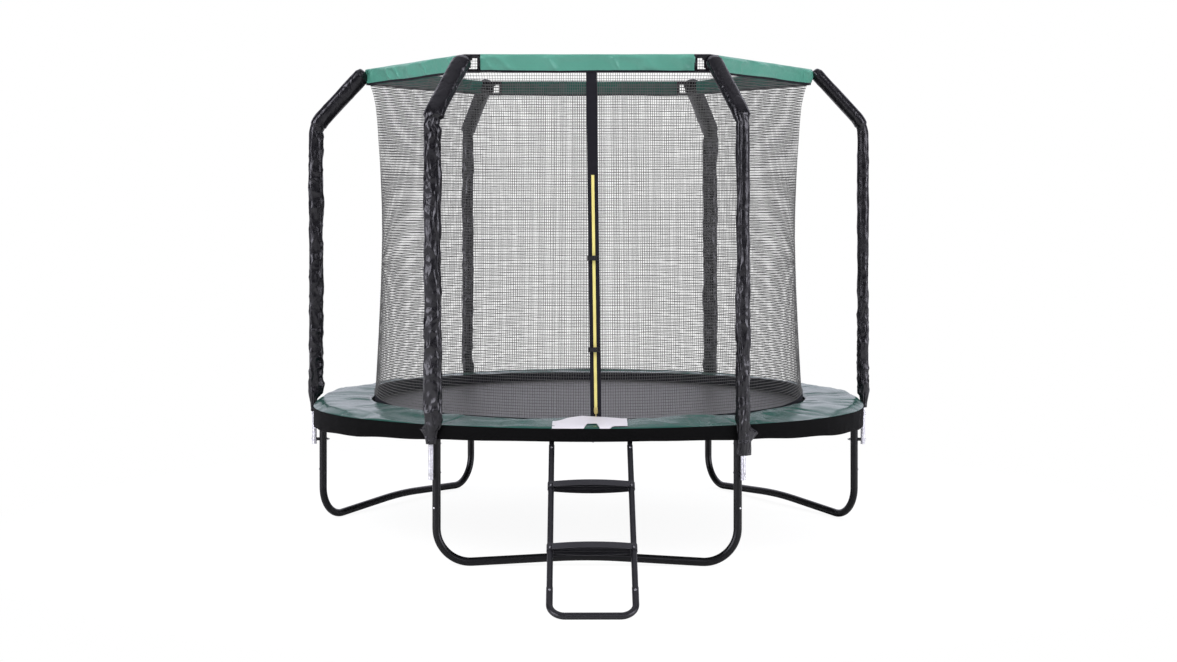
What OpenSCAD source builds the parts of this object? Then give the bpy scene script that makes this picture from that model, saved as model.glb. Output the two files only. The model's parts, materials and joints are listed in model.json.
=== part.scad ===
// Round garden trampoline with a padded ring, a straight-pole safety enclosure and a hook-on ladder.
// Millimetres. +Z is up, the ground is z = 0, and the ring's axis is the Z axis. The door and the
// ladder face -Y. An azimuth is the angle about +Z from the front (-Y) towards +X.

/* [Ring and legs] */
// Radius of the ring tube's centreline
ring_r = 1504; // [1480:1:1560]
// Height of the ring tube's centreline above the ground
ring_z = 667; // [620:1:720]
// Outside diameter of the ring, leg and base tubes
tube_d = 42; // [38:0.5:44]
// Wall of the ring, leg and base tubes
tube_wall = 1.5; // [1.2:0.1:2.2]
// Length of each swaged end that enters the next tube
spigot_len = 60; // [40:1:80]
// Length of the welded socket under each rail
socket_len = 100; // [80:1:120]
// Height of the seam between leg post and leg base
leg_seam_z = 262; // [230:1:320]
// Centreline radius of the leg base's corners
base_bend_r = 168; // [120:1:180]
// Slope of the leg base up to its raised middle, in degrees
base_slope = 3.2; // [1:0.1:5]
// Centreline radius of the base's crest
base_crest_r = 3000; // [600:10:4000]

/* [Mat and springs] */
// Number of springs
spring_n = 60; // [60:60:60]
// Height of the springs' axis above the ring's centreline
spring_rise = 8; // [4:0.5:10]
// Outside diameter of a spring's coil
spring_d = 22; // [18:0.5:24]
// Wire diameter of a spring
wire_d = 3.5; // [3:0.1:4]
// Length of a spring's coil
coil_len = 125; // [110:1:130]
// Radius of the jumping mat
mat_r = 1275; // [1255:1:1285]
// Thickness of the jumping mat
mat_t = 3; // [1.5:0.5:4]
// Width of the webbing sewn under the mat's edge
webbing_w = 40; // [25:1:50]

/* [Pad] */
// Inside radius of the safety pad
pad_in_r = 1216; // [1212:1:1230]
// Outside radius of the safety pad
pad_out_r = 1535.7; // [1531:0.1:1536]
// Thickness of the pad at its crown
pad_t = 26; // [18:1:32]
// Thickness of the pad at its sewn edges
pad_edge_t = 14; // [8:1:16]
// Height of the skirt's hem above the ring's underside
skirt_lift = 4; // [4:1:10]
// Thickness of the skirt's fabric
skirt_t = 1.2; // [0.8:0.1:1.5]

/* [Poles] */
// Clear gap between a leg and its enclosure pole, filled by the spacers
pole_gap = 15.5; // [15:0.5:18]
// Outside diameter of a pole
pole_d = 25; // [22:0.5:27]
// Wall of a pole
pole_wall = 1.2; // [1:0.1:2]
// Height of a pole's lower end
pole_foot_z = 436; // [400:1:445]
// Height of the joint between the lower and upper pole tubes
pole_joint_z = 1300; // [1100:10:1500]
// Height at which the straight and leaning axes of a pole meet
pole_bend_z = 2243; // [2200:1:2280]
// Lean of a pole's top from the vertical, in degrees
pole_lean = 42.5; // [38:0.5:46]
// Centreline radius of a pole's bend
pole_bend_r = 150; // [120:5:180]
// Radius at which a pole's axis ends
pole_top_r = 1290; // [1285:1:1300]
// Outside diameter of the foam tube
foam_d = 58; // [50:1:60]
// Height of the foam tube's lower end
foam_z = 728; // [722:1:760]
// Mean thickness of the sleeve's folds over the foam
fold_t = 5.4; // [4:0.1:6]
// Length of a fold in the sleeve
fold_pitch = 86; // [60:1:110]
// Height of a sleeve's lower hem
sleeve_hem_z = 622; // [600:1:640]
// Heights of the two bolts that fasten a pole to its leg
pole_bolt_z = [462.4, 608]; // [440:0.1:610]
// Diameter of the pole bolts
bolt_d = 8; // [6:0.5:8]

/* [Enclosure] */
// Height of the top band's upper edge
band_top_z = 2565; // [2560:1:2572]
// Height of the top band
band_h = 97; // [80:1:110]
// Radius of the top band's corners, across its middle plane
band_corner_r = 1256; // [1240:1:1258]
// Thickness of the band's lower half
band_t = 4; // [3:0.5:5]
// Diameter of the fold along the band's upper edge
band_fold_d = 16; // [12:0.5:18]
// Width of a corner pocket along each side of the band
pocket_w = 78; // [60:1:90]
// Radius of the net at the mat
net_foot_r = 1205; // [1195:1:1206]
// How far the net's corner lines bow inwards
net_bow = 56; // [0:1:80]
// Thickness of the net
net_t = 2; // [1:0.1:3]
// Width of a net cord in the lattice
net_cord_w = 8; // [4:0.5:12]
// Height of the black band at the net's foot
foot_band_h = 68; // [50:1:90]

/* [Door] */
// Width of the door's vertical strap
strap_w = 55; // [45:1:65]
// Thickness of the strap
strap_t = 2.4; // [1.5:0.1:3]
// Offset of the strap to the right at its top
strap_top_x = 21; // [0:1:30]
// Offset of the strap to the right at its foot
strap_foot_x = 44; // [30:1:60]
// Width of the zip's teeth tape
zip_w = 15; // [10:0.5:18]
// Height of the zip's upper end
zip_top_z = 1953; // [1800:1:2100]
// Heights of the two side-release buckles
buckle_z = [1531, 1070]; // [900:1:1700]

/* [Ladder] */
// Lean of the ladder from the vertical, in degrees
ladder_lean = 58; // [45:0.5:60]
// Azimuth at which the ladder hangs on the ring
ladder_az = 0.74; // [-1:0.01:1]
// Distance from the ladder's middle to each rail's axis
rail_half_w = 191; // [170:1:200]
// Outside diameter of a ladder rail
rail_d = 28; // [22:0.1:30]
// Outside diameter of the ladder's foot loop
loop_d = 31; // [28:0.1:33]
// Wall of the ladder's tubes
ladder_wall = 1.2; // [1:0.1:1.3]
// Centreline radius of the foot loop's corners
loop_bend_r = 70; // [50:1:90]
// Length of the foot loop's legs from the ground to their upper ends
loop_leg = 175; // [150:1:200]
// Heights of the two treads
tread_z = [470, 243]; // [230:1:500]
// Depth of a tread at its middle
tread_depth = 115; // [70:1:120]
// Height of a tread's flange
tread_flange = 27; // [16:1:30]
// How far a tread's nose points up at rest, in degrees
tread_tilt = 30; // [0:1:35]
// Thickness of the hook strap
hook_t = 4; // [3:0.5:4]
// Width of the hook strap
hook_w = 24.5; // [16:0.5:25]

/* [Hidden] */
$fn = 72;

// Clearance of a sliding or seated fit, and a small overshoot for cuts
fit = 0.3;
cut = 1;
big_fn = 240;
// How much thinner a tube is drawn in its bends, and how far a bend runs into a straight length
bend_draw = 0.15;
bend_lap = 1;

// Six-fold layout
bays = 6;
bay = 360 / bays;
function post_az(k) = -150 + bay * (k - 1);

// Tubes of the frame
tube_r = tube_d / 2;
bore_r = tube_r - tube_wall;
spigot_r = bore_r - fit;
half_chord = ring_r * sin(bay / 2);
chord_y = ring_r * cos(bay / 2);
post_top_z = ring_z - tube_r - 2;
screw_r = 2.4;

// Leg base: straight run between the crest and the corner, and the crest's height
base_run = (half_chord - base_crest_r * sin(base_slope) - base_bend_r * (1 + sin(base_slope)))
    / cos(base_slope);
base_rise = (base_crest_r + base_bend_r) * (1 - cos(base_slope)) + base_run * sin(base_slope);

// Springs, mat and V-rings
spring_z = ring_z + spring_rise;
spring_pitch = 360 / spring_n;
ring_wall_r = ring_r - sqrt(tube_r * tube_r - spring_rise * spring_rise);
ring_bore_r = ring_r - sqrt(bore_r * bore_r - spring_rise * spring_rise);
coil_out_r = ring_wall_r - 22;
coil_in_r = coil_out_r - coil_len;
hook_ring_r = 6;
v_apex_r = coil_in_r - 14;
v_t = 3.5;
v_drop = mat_t / 2 + fit + v_t / 2;
tip_drop = 11;
mat_top_z = spring_z + mat_t / 2;
mat_hem_step = 0.3;
mat_hem_r = net_foot_r - 5;

// Pad and skirt
pad_z = ring_z + tube_r + fit;
skirt_r = pad_out_r + fit;
patch_t = 0.8;
skirt_z = ring_z - tube_r + skirt_lift;

// Poles
pole_bend_len = pole_bend_r * tan(pole_lean / 2);
pole_r = ring_r + tube_r + pole_gap + pole_d / 2;
pole_lean_len = (pole_r - pole_top_r) / sin(pole_lean);
foam_r = foam_d / 2;
foam_bore_r = pole_d / 2 + fit;
sleeve_bore_r = foam_r + fit;
sleeve_r = sleeve_bore_r + fold_t;
sleeve_end = 34;
cap_len = 12;
cap_r = pole_d / 2 + 1.5;
gap_r = [ring_r + tube_r, pole_r - pole_d / 2];
nut_r = 6.8;
nut_h = 8.5;
nut_flange_r = 8.5;
nut_flange_t = 2;

// Top band, seen in a section square to one side of the hexagon
band_mid = band_corner_r * cos(bay / 2);
band_low_z = band_top_z - band_h;
band_fold_z = band_top_z - band_fold_d / 2;
pocket_t = 2.5;
pocket_seam_w = 12;
seam_r = [band_corner_r - 1, band_corner_r + 15];

// Net, from the top of its foot band to behind the top band
foot_band_t = 3;
foot_band_top = mat_top_z + fit + foot_band_h;
foot_band_len = foot_band_h + mat_hem_step;
net_z = [foot_band_top + fit, band_low_z + 24];
net_kink_z = band_low_z - 1;
net_top_r = (band_mid - band_t / 2 - fit - net_t / 2) / cos(bay / 2);
strips = 24;
strip_az = 360 / strips;
strip_gap_az = 0.02;
gaps_across = 2;
gaps_up = 5;

// Door strap: foot and top of its sloping part's middle line on the net's outer side, its tilt,
// and the height of its tail in front of the foot band
strap_foot = [strap_foot_x, -(net_foot_r + foot_band_t / 2 + fit), net_z[0]];
strap_top = [strap_top_x, -(band_mid - band_t / 2), net_kink_z];
strap_tail_z = mat_top_z + 20;
strap_run = strap_top - strap_foot;
strap_len = norm(strap_run);
strap_pitch = -asin(strap_run[1] / strap_len);
strap_roll = atan2(strap_run[0], strap_run[2]);
function along_strap(z) = (z - strap_foot[2]) / strap_run[2] * strap_len;
zip_t = 1.2;
zip_foot = 3;
slider_len = 26;
slider_w = 19;
slider_top = strap_t + zip_t + 5;
slider_at = zip_foot + 6;
pull_pin_r = 1.2;
pull_t = 2;
pull_len = 34;
buckle_off = strap_t + 15;
buckle_h = 25;
buckle_t = 9;

// Ladder, in a frame at the ring tube's centre with +Z up along the rails
hinge_y = -sqrt(ring_r * ring_r - rail_half_w * rail_half_w);
hook_in_r = tube_r + fit + 0.05 + (sqrt(pow(ring_r, 2) - pow(rail_half_w - hook_w / 2, 2))
    - sqrt(pow(ring_r, 2) - pow(rail_half_w + hook_w / 2, 2))) / 2;
hook_mid_r = hook_in_r + hook_t / 2;
hook_bend_r = 10;
hook_flat = 3;
hook_turn = 105;
hook_wrap = 212;
hook_tongue = 62;
rail_off = hook_bend_r - (hook_bend_r + hook_mid_r) * cos(hook_turn) + hook_flat * sin(hook_turn);
hook_low = (hook_bend_r + hook_mid_r) * sin(hook_turn) + hook_flat * cos(hook_turn);
rail_top = hook_low + 3;
ladder_len = (ring_z - rail_off * sin(ladder_lean) - loop_d / 2) / cos(ladder_lean);
loop_top = ladder_len - loop_leg;
loop_insert = 55;
collar_d = 34;
collar_len = 45;
collar_bolt_up = -9;
ladder_bolt_r = 3;
tread_t = 2.5;
tread_half = rail_half_w - 8;
tread_bow = 23;
function down_rail(z) = (ring_z - rail_off * sin(ladder_lean) - z) / cos(ladder_lean);

// ---------- shared shapes ----------

// Turns a shape made at the front to azimuth a
module at_az(a) rotate([0, 0, a]) children();

// The same shape at every bay of the ring
module each_post() for (k = [1:bays]) at_az(post_az(k)) children();

module ring2d(r, r_in) difference() {
    circle(r);
    circle(r_in);
}

// A section bent from +Z towards +Y, a little way into the straight lengths at its ends
module bend(r, angle) {
    lap = bend_lap / r * 180 / PI;
    rotate([90, 0, -90]) translate([-r, 0, 0]) rotate([0, 0, -lap])
        rotate_extrude(angle = angle + 2 * lap) translate([r, 0]) rotate(-90) children();
}

// A run that starts at the origin towards +Z. A move is [length, 0], which carries the first
// child's section, or [radius, angle, direction], which carries the second child's; direction 0
// bends towards +Y, 90 towards -X.
module run(moves, i = 0) {
    if (i < len(moves)) {
        m = moves[i];
        if (m[1] == 0) {
            linear_extrude(m[0]) children(0);
            translate([0, 0, m[0]]) run(moves, i + 1) {
                children(0);
                children(1);
            }
        } else {
            rotate([0, 0, m[2]]) {
                bend(m[0], m[1]) rotate(-m[2]) children(1);
                translate([0, m[0] * (1 - cos(m[1])), m[0] * sin(m[1])]) rotate([-m[1], 0, 0])
                    rotate([0, 0, -m[2]]) run(moves, i + 1) {
                        children(0);
                        children(1);
                    }
            }
        }
    }
}

// A tube along a run, drawn a little thinner in its bends
module tube_run(moves, r, r_in) run(moves) {
    ring2d(r, r_in);
    drawn_ring(r, r_in);
}

module drawn_ring(r, r_in) ring2d(r - bend_draw, r_in - bend_draw);

// A round bar along the radius at azimuth 0, from radius a to radius b
module radial_bar(a, b, z, r) translate([0, -a, z]) rotate([90, 0, 0]) cylinder(r = r, h = b - a);

// ---------- frame ----------

// One sixth of the ring: a rolled tube with a swaged end, spring holes and a welded leg socket
module rail(k) {
    own = 30 / ring_r * 180 / PI;
    far = spigot_len / ring_r * 180 / PI;
    color("dimgray") at_az(post_az(k)) difference() {
        union() {
            rail_arc(-bay / 2, bay / 2) ring2d(tube_r, bore_r);
            rail_arc(bay / 2 - own, bay / 2) ring2d(bore_r + 0.2, spigot_r - tube_wall);
            rail_arc(bay / 2 - own / 9, bay / 2 + far) ring2d(spigot_r, spigot_r - tube_wall - 0.1);
            difference() {
                translate([0, -ring_r, ring_z - tube_r - socket_len])
                    cylinder(r = spigot_r, h = socket_len + tube_r);
                rail_arc(-2, 2) circle(bore_r + 0.1);
            }
        }
        translate([0, -ring_r, ring_z - tube_r - socket_len - cut])
            cylinder(r = spigot_r - tube_wall, h = socket_len - 2);
        for (i = [0:spring_n / bays - 1])
            at_az(-bay / 2 + spring_pitch * (i + 0.5))
                radial_bar(ring_r - tube_r - 5, ring_r - 6, spring_z, wire_d);
        radial_bar(ring_r - tube_r, ring_r + tube_r, pole_bolt_z[1], bolt_d / 2 + fit);
        for (s = [-1, 1])
            at_az(s * bay / 2 + rail_screw_az()) translate([0, -ring_r, ring_z - tube_r - 5])
                cylinder(r = screw_r + 0.2, h = 12);
    }
}

function rail_screw_az() = spigot_len / 2 / ring_r * 180 / PI;

module rail_arc(a, b) translate([0, 0, ring_z]) rotate([0, 0, a - 90])
    rotate_extrude(angle = b - a, $fn = big_fn) translate([ring_r, 0]) children();

// Upright leg tube between the socket and the leg base
module leg_post(k) {
    color("dimgray") at_az(post_az(k)) difference() {
        translate([0, -ring_r, leg_seam_z]) linear_extrude(post_top_z - leg_seam_z)
            ring2d(tube_r, bore_r);
        for (z = pole_bolt_z) radial_bar(ring_r - tube_r - 2, ring_r + tube_r + 2, z, bolt_d / 2 + fit);
        radial_bar(ring_r, ring_r + tube_r + 2, leg_seam_z + spigot_len / 2, screw_r + 0.2);
    }
}

// W-shaped leg base that joins two posts: a bent tube with a raised middle and swaged ends
module leg_base(az) {
    color("dimgray") at_az(az) difference() {
        translate([0, -chord_y, 0]) {
            translate([0, 0, tube_r + base_rise - base_crest_r]) rotate([0, -base_slope, 0])
                translate([0, 0, base_crest_r]) rotate([0, 90, 0]) rotate([0, 0, -90])
                bend(base_crest_r, 2 * base_slope) drawn_ring(tube_r, bore_r);
            for (side = [0, 1]) mirror([side, 0, 0]) half_base();
        }
        for (side = [-1, 1]) rotate([0, 0, side * bay / 2])
            radial_bar(ring_r, ring_r + tube_r + 2, leg_seam_z + spigot_len / 2, screw_r + 0.2);
    }
}

// Half a leg base from the end of its crest: the straight run, the corner, the upright and its
// swaged end
module half_base() {
    translate([-base_crest_r * sin(base_slope), 0,
        tube_r + base_rise - base_crest_r * (1 - cos(base_slope))])
        rotate([0, -90 - base_slope, 0]) tube_run([[base_run, 0],
            [base_bend_r, 90 + base_slope, -90],
            [leg_seam_z - tube_r - base_bend_r, 0]], tube_r, bore_r);
    translate([-half_chord, 0, leg_seam_z]) {
        translate([0, 0, -20]) linear_extrude(20) ring2d(bore_r + 0.2, spigot_r - tube_wall);
        translate([0, 0, -0.1]) linear_extrude(spigot_len) ring2d(spigot_r, spigot_r - tube_wall);
    }
}

// Self-tapping screws: one under each rail joint and one at each leg seam
module frame_screws() {
    color("silver") {
        for (k = [1:bays]) at_az(post_az(k) + bay / 2 + rail_screw_az())
            translate([0, -ring_r, ring_z - tube_r]) screw(6);
        each_post() translate([0, -(ring_r + tube_r), leg_seam_z + spigot_len / 2])
            rotate([-90, 0, 0]) screw(6);
    }
}

// A pan-head screw whose seat is at the origin, with its shank up
module screw(len) {
    translate([0, 0, -0.2]) cylinder(r = screw_r, h = len);
    translate([0, 0, -2.9]) cylinder(r = 4.6, h = 2.7);
}

// ---------- mat ----------

// One spring lying along the radius: closed coil, straight outer arm with a bent tip behind the
// ring's wall, and an inner hook round the V-ring
module spring() {
    translate([0, 0, spring_z]) {
        translate([0, -coil_in_r, 0]) rotate([90, 0, 0]) rotate_extrude() polygon([
            [0, -5], [wire_d / 2, -5], [wire_d / 2, -3], [spring_d / 2 - 1, 0], [spring_d / 2, 2],
            [spring_d / 2, coil_len - 2], [spring_d / 2 - 1, coil_len], [wire_d / 2, coil_len + 4],
            [wire_d / 2, coil_len + 8], [0, coil_len + 8]]);
        radial_bar(coil_out_r + 6, ring_bore_r + 5, 0, wire_d / 2 - 0.05);
        translate([0, -(ring_bore_r + 5), -tip_drop]) cylinder(r = wire_d / 2 + 0.1, h = tip_drop + 2);
        translate([0, -v_apex_r, -v_drop]) rotate([0, 90, 0]) rotate([0, 0, -45])
            rotate_extrude(angle = 300) translate([hook_ring_r, 0]) circle(wire_d / 2 - 0.1);
        radial_bar(v_apex_r + hook_ring_r - 2, coil_in_r - 3, 0, wire_d / 2 - 0.2);
    }
}

// A third of the springs: two neighbouring rails' worth
module spring_set(n) {
    third = spring_n / 3;
    color("silver") for (i = [0:third - 1])
        at_az(-180 + spring_pitch * ((n - 1) * third + i + 0.5)) spring();
}

// Woven mat: its middle, and a sewn hem whose face lies a little lower, from the net's foot out
module jumping_mat() color([0.14, 0.14, 0.15]) translate([0, 0, mat_top_z - mat_t])
    rotate_extrude($fn = big_fn) polygon([[0, 0], [mat_r, 0], [mat_r, mat_t - mat_hem_step],
        [mat_hem_r, mat_t - mat_hem_step], [mat_hem_r, mat_t], [0, mat_t]]);

// Edge webbing that holds the V-rings, sewn under the mat's rim
module mat_webbing() color([0.07, 0.07, 0.08]) difference() {
    translate([0, 0, mat_top_z - mat_t - webbing_t()]) linear_extrude(webbing_t(), $fn = big_fn)
        ring2d(mat_r, mat_r - webbing_w);
    for (i = [0:spring_n - 1]) at_az(spring_pitch * (i + 0.5))
        translate([-v_half() - 2, -mat_r - 1, mat_top_z - mat_t - webbing_t() - 1])
            cube([2 * v_half() + 4, 15, webbing_t() + 2]);
}

function webbing_t() = 4;
function v_half() = 16;

// V-rings: flat wire triangles with their base held in the webbing and their apex in the springs
module v_rings() {
    foot = -mat_r + 13.5 - v_t;
    color("silver") for (i = [0:spring_n - 1]) at_az(spring_pitch * (i + 0.5))
        translate([0, 0, spring_z - v_drop - v_t / 2]) v_ring(foot);
}

module v_ring(foot) linear_extrude(v_t) difference() {
    polygon([[-v_half(), foot], [v_half(), foot], [2.5, -v_apex_r - 2], [-2.5, -v_apex_r - 2]]);
    polygon([[-v_half() + 5, foot - v_t], [v_half() - 5, foot - v_t], [1.6, -v_apex_r + 2],
        [-1.6, -v_apex_r + 2]]);
}

// ---------- pad ----------

// Height of the pad's top at share u of its width
function pad_top(u) = pad_z + pad_edge_t + (pad_t - pad_edge_t) * pow(sin(180 * u), 0.6);

// Crowned ring cushion, sewn in six sectors, hollowed where the ladder's hooks pass under it
module safety_pad() {
    steps = 14;
    color([0.06, 0.22, 0.17]) difference() {
        rotate_extrude($fn = big_fn) polygon(concat(
            [[pad_in_r + 3, pad_z], [pad_out_r, pad_z]],
            [for (i = [0:steps]) let (u = 1 - i / steps)
                [pad_in_r + u * (pad_out_r - pad_in_r), pad_top(u)]],
            [[pad_in_r, pad_z + 4]]));
        each_post() translate([0, -pad_in_r + 1, pad_z + pad_t + 1]) rotate([90, 0, 0])
            linear_extrude(pad_out_r - pad_in_r) polygon([[-5, 3], [5, 3], [0, -7]]);
        for (s = [-1, 1])
            at_az(ladder_az) translate([s * rail_half_w - hook_w / 2 - 2, hinge_y, ring_z])
                rotate([0, 90, 0]) cylinder(r = hook_in_r + hook_t + 1, h = hook_w + 4);
    }
}

// Black skirt that hangs from the pad's rim over the ring
module pad_skirt() color([0.05, 0.05, 0.05]) translate([0, 0, skirt_z])
    linear_extrude(pad_z + pad_edge_t - 2 - skirt_z, $fn = big_fn)
        ring2d(skirt_r + skirt_t, skirt_r);

// Bare white panel on the pad in front of the door
module pad_patch() {
    half = 7.7;
    steps = 10;
    a = 0.05;
    color("gainsboro") rotate([0, 0, -90 - half]) rotate_extrude(angle = 2 * half, $fn = big_fn)
        polygon(concat(
            [for (i = [0:steps]) let (u = a + i / steps * (0.97 - a))
                [pad_in_r + u * (pad_out_r - pad_in_r), pad_top(u) + fit]],
            [for (i = [0:steps]) let (u = 0.97 - i / steps * (0.97 - a))
                [pad_in_r + u * (pad_out_r - pad_in_r), pad_top(u) + fit + patch_t]]));
}

// ---------- poles ----------

// Moves of a pole's axis from height z to a distance short of its end
function pole_moves(z, short) = [[pole_bend_z - pole_bend_len - z, 0],
    [pole_bend_r, pole_lean, 0], [pole_lean_len - pole_bend_len - short, 0]];

// A shape in the frame of a pole's end, with +Z along the pole
module at_pole_end() translate([0, -pole_r, pole_bend_z]) rotate([-pole_lean, 0, 0])
    translate([0, 0, pole_lean_len]) children();

// Six straight galvanised tubes with swaged tops
module pole_lower_tubes() {
    in_r = pole_d / 2 - pole_wall;
    color("silver") each_post() difference() {
        translate([0, -pole_r, 0]) {
            translate([0, 0, pole_foot_z]) linear_extrude(pole_joint_z - pole_foot_z)
                ring2d(pole_d / 2, in_r);
            translate([0, 0, pole_joint_z - 20]) linear_extrude(20)
                ring2d(in_r + 0.2, in_r - fit - pole_wall);
            translate([0, 0, pole_joint_z - 0.1]) linear_extrude(spigot_len)
                ring2d(in_r - fit, in_r - fit - pole_wall - 0.1);
        }
        for (z = pole_bolt_z) radial_bar(gap_r[1] - 2, gap_r[1] + pole_d + 2, z, bolt_d / 2 + fit);
    }
}

// Upper pole tube with the inward bend
module pole_upper(k) color("silver") at_az(post_az(k)) translate([0, -pole_r, pole_joint_z])
    tube_run(pole_moves(pole_joint_z, 0), pole_d / 2, pole_d / 2 - pole_wall);

// Moulded plugs in the poles' upper ends
module pole_caps() color([0.08, 0.08, 0.08]) each_post() at_pole_end() rotate_extrude() polygon([
    [0, -22], [pole_d / 2 - pole_wall - fit, -22], [pole_d / 2 - pole_wall - fit, 0],
    [cap_r, 0], [cap_r, cap_len - 5], [cap_r - 1.5, cap_len - 2], [cap_r - 5, cap_len], [0, cap_len]]);

// Foam tubes round the poles
module foam_tubes() color("lightgray") each_post() translate([0, -pole_r, foam_z])
    tube_run(pole_moves(foam_z, sleeve_end + 6), foam_r, foam_bore_r);

// Radius of a sleeve's folds at height z, by a sum of two waves
function fold_r(z, k) = sleeve_r + 0.55 * (fold_t - 1.2) * (sin(360 * z / fold_pitch + 74 * k)
    + 0.6 * sin(360 * z / (fold_pitch * 0.43) + 40 * k));

// Gathered fabric sleeve over one pole's foam: a narrow hem outside the skirt, a folded body,
// the bend and the folded top
module pole_sleeve(k) {
    hem_r = pole_d / 2 + fit;
    body_len = pole_bend_z - pole_bend_len - foam_z - 1;
    top_len = pole_lean_len - pole_bend_len - sleeve_end;
    color([0.07, 0.07, 0.08]) at_az(post_az(k)) translate([0, -pole_r, 0]) {
        translate([0, 0, foam_z + 1]) rotate_extrude() polygon(concat([
            [sleeve_bore_r, body_len], [sleeve_bore_r, -1 - fit], [hem_r, -11 - fit],
            [hem_r, sleeve_hem_z - foam_z], [hem_r + 1.4, sleeve_hem_z - foam_z],
            [hem_r + 1.4, -13], [sleeve_bore_r + 1.4, -2.4 - fit]], folds(body_len, k)));
        translate([0, 0, pole_bend_z - pole_bend_len]) bend(pole_bend_r, pole_lean)
            drawn_ring(sleeve_r, sleeve_bore_r);
        translate([0, 0, pole_bend_z]) rotate([-pole_lean, 0, 0]) translate([0, 0, pole_bend_len])
            rotate_extrude() polygon(concat([[sleeve_bore_r, top_len], [sleeve_bore_r, 0]],
                folds(top_len, k + 3)));
    }
}

// Outline of a sleeve's folds over a length
function folds(length, k) = let (n = max(4, round(length / fold_pitch * 3))) concat([[sleeve_r, 0]],
    [for (i = [1:n - 1]) [fold_r(i * length / n, k), i * length / n]], [[sleeve_r, length]]);

// Black spacers that keep the poles off the legs
module pole_spacers() color([0.08, 0.08, 0.08]) each_post() for (z = pole_bolt_z) difference() {
    radial_bar(gap_r[0] - 4, gap_r[1] + 2.5, z, 9);
    radial_bar(gap_r[0] - 5, gap_r[1] + 4, z, bolt_d / 2 + fit);
    translate([0, -ring_r, z - 10]) cylinder(r = tube_r + 0.05, h = 20);
    translate([0, -pole_r, z - 10]) cylinder(r = pole_d / 2 + 0.05, h = 20);
}

// Long bolts through pole, spacer and leg, with domed heads on the outside
module pole_bolts() color("silver") each_post() for (z = pole_bolt_z)
    translate([0, -pole_r - pole_d / 2 - 0.2, z]) rotate([-90, 0, 0]) rotate_extrude() polygon([
        [0, -5], [3, -4.7], [6, -3], [7.5, 0], [bolt_d / 2, 0],
        [bolt_d / 2, pole_r - ring_r + pole_d / 2 + tube_r + 16],
        [0, pole_r - ring_r + pole_d / 2 + tube_r + 16]]);

// Nuts with round flanges on the inner side of the legs
module pole_nuts() color("silver") each_post() for (z = pole_bolt_z)
    translate([0, -(ring_r - tube_r - 0.2), z]) rotate([-90, 0, 0]) difference() {
        union() {
            cylinder(r = nut_flange_r, h = nut_flange_t);
            cylinder(r = nut_r, h = nut_h, $fn = 6);
        }
        translate([0, 0, -cut]) cylinder(r = bolt_d / 2 + 0.1, h = nut_h + 2 * cut);
    }

// ---------- enclosure ----------

// Section of the band: a hanging strip with a round fold along its top. +X is outwards, +Y is up
module band_section(grow = 0) {
    translate([0, band_fold_z]) circle(band_fold_d / 2 + grow);
    polygon([[band_t / 2 + grow, band_low_z - grow], [band_t / 2 + grow, band_low_z + 34],
        [band_fold_d / 2 + grow, band_fold_z], [-band_fold_d / 2 - grow, band_fold_z],
        [-band_t / 2 - grow, band_low_z + 34], [-band_t / 2 - grow, band_low_z - grow]]);
}

// One side of the hexagon, from corner to corner, mitred by the two planes of its bay
module band_side(from, to) translate([from, -band_mid, 0]) rotate([90, 0, 90])
    linear_extrude(to - from) mirror([1, 0]) children();

module bay_wedge() linear_extrude(band_top_z + band_h) translate([0, 0.2]) polygon([[0, 0],
    [-2 * band_mid * tan(bay / 2), -2 * band_mid], [2 * band_mid * tan(bay / 2), -2 * band_mid]]);

module band_piece(grow = 0) intersection() {
    band_side(-band_corner_r / 2 - 20, band_corner_r / 2 + 20) band_section(grow);
    bay_wedge();
}

// Fabric band folded over the net's top edge, straight between the poles
module top_band() color([0.13, 0.42, 0.33]) for (i = [0:bays - 1]) rotate([0, 0, i * bay])
    band_piece();

// Outer half of a pocket's section
module pocket_section() intersection() {
    difference() {
        band_section(pocket_t + fit);
        band_section(fit);
    }
    translate([0, band_low_z]) square([40, band_h + 40]);
}

// Black corner pockets: flaps on both sides of each corner and a cup over the pole's cap
module corner_pockets() color([0.08, 0.08, 0.08]) each_post() union() {
    for (s = [-1, 1]) rotate([0, 0, s * bay / 2]) intersection() {
        band_side(s < 0 ? band_corner_r / 2 - pocket_w : -band_corner_r / 2 - 30,
            s < 0 ? band_corner_r / 2 + 30 : pocket_w - band_corner_r / 2) pocket_section();
        bay_wedge();
    }
    difference() {
        union() {
            at_pole_end() translate([0, 0, -16])
                cylinder(r = cap_r + fit + pocket_t, h = cap_len + 16 + fit + pocket_t);
            translate([-pocket_seam_w / 2, -seam_r[1], band_low_z + 2])
                cube([pocket_seam_w, seam_r[1] - seam_r[0], band_h - 20]);
        }
        at_pole_end() translate([0, 0, -17]) cylinder(r = cap_r + fit, h = cap_len + 17 + fit);
        for (s = [-1, 1]) rotate([0, 0, s * bay / 2]) band_piece(fit);
    }
}

// Radius of the net's middle at azimuth a and height z: a circle at the mat, a hexagon at and
// behind the band, and corner lines that bow inwards
function side_az(a) = a - bay * round(a / bay);
function net_r(a, z) = let (
    t = min(1, (z - net_z[0]) / (net_kink_z - net_z[0])),
    flat = cos(bay / 2) / cos(side_az(a)),
    corner = (flat - cos(bay / 2)) / (1 - cos(bay / 2)))
    (1 - t) * net_foot_r + t * net_top_r * flat - 4 * net_bow * t * (1 - t) * corner;

// Edges of n gaps between cords of width w over a length, as the stops of a lattice
function stops(length, n, w) = concat([0], [for (i = [0:n - 1]) each [
    i * length / n + w / 2, (i + 1) * length / n - w / 2]], [length]);

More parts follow.
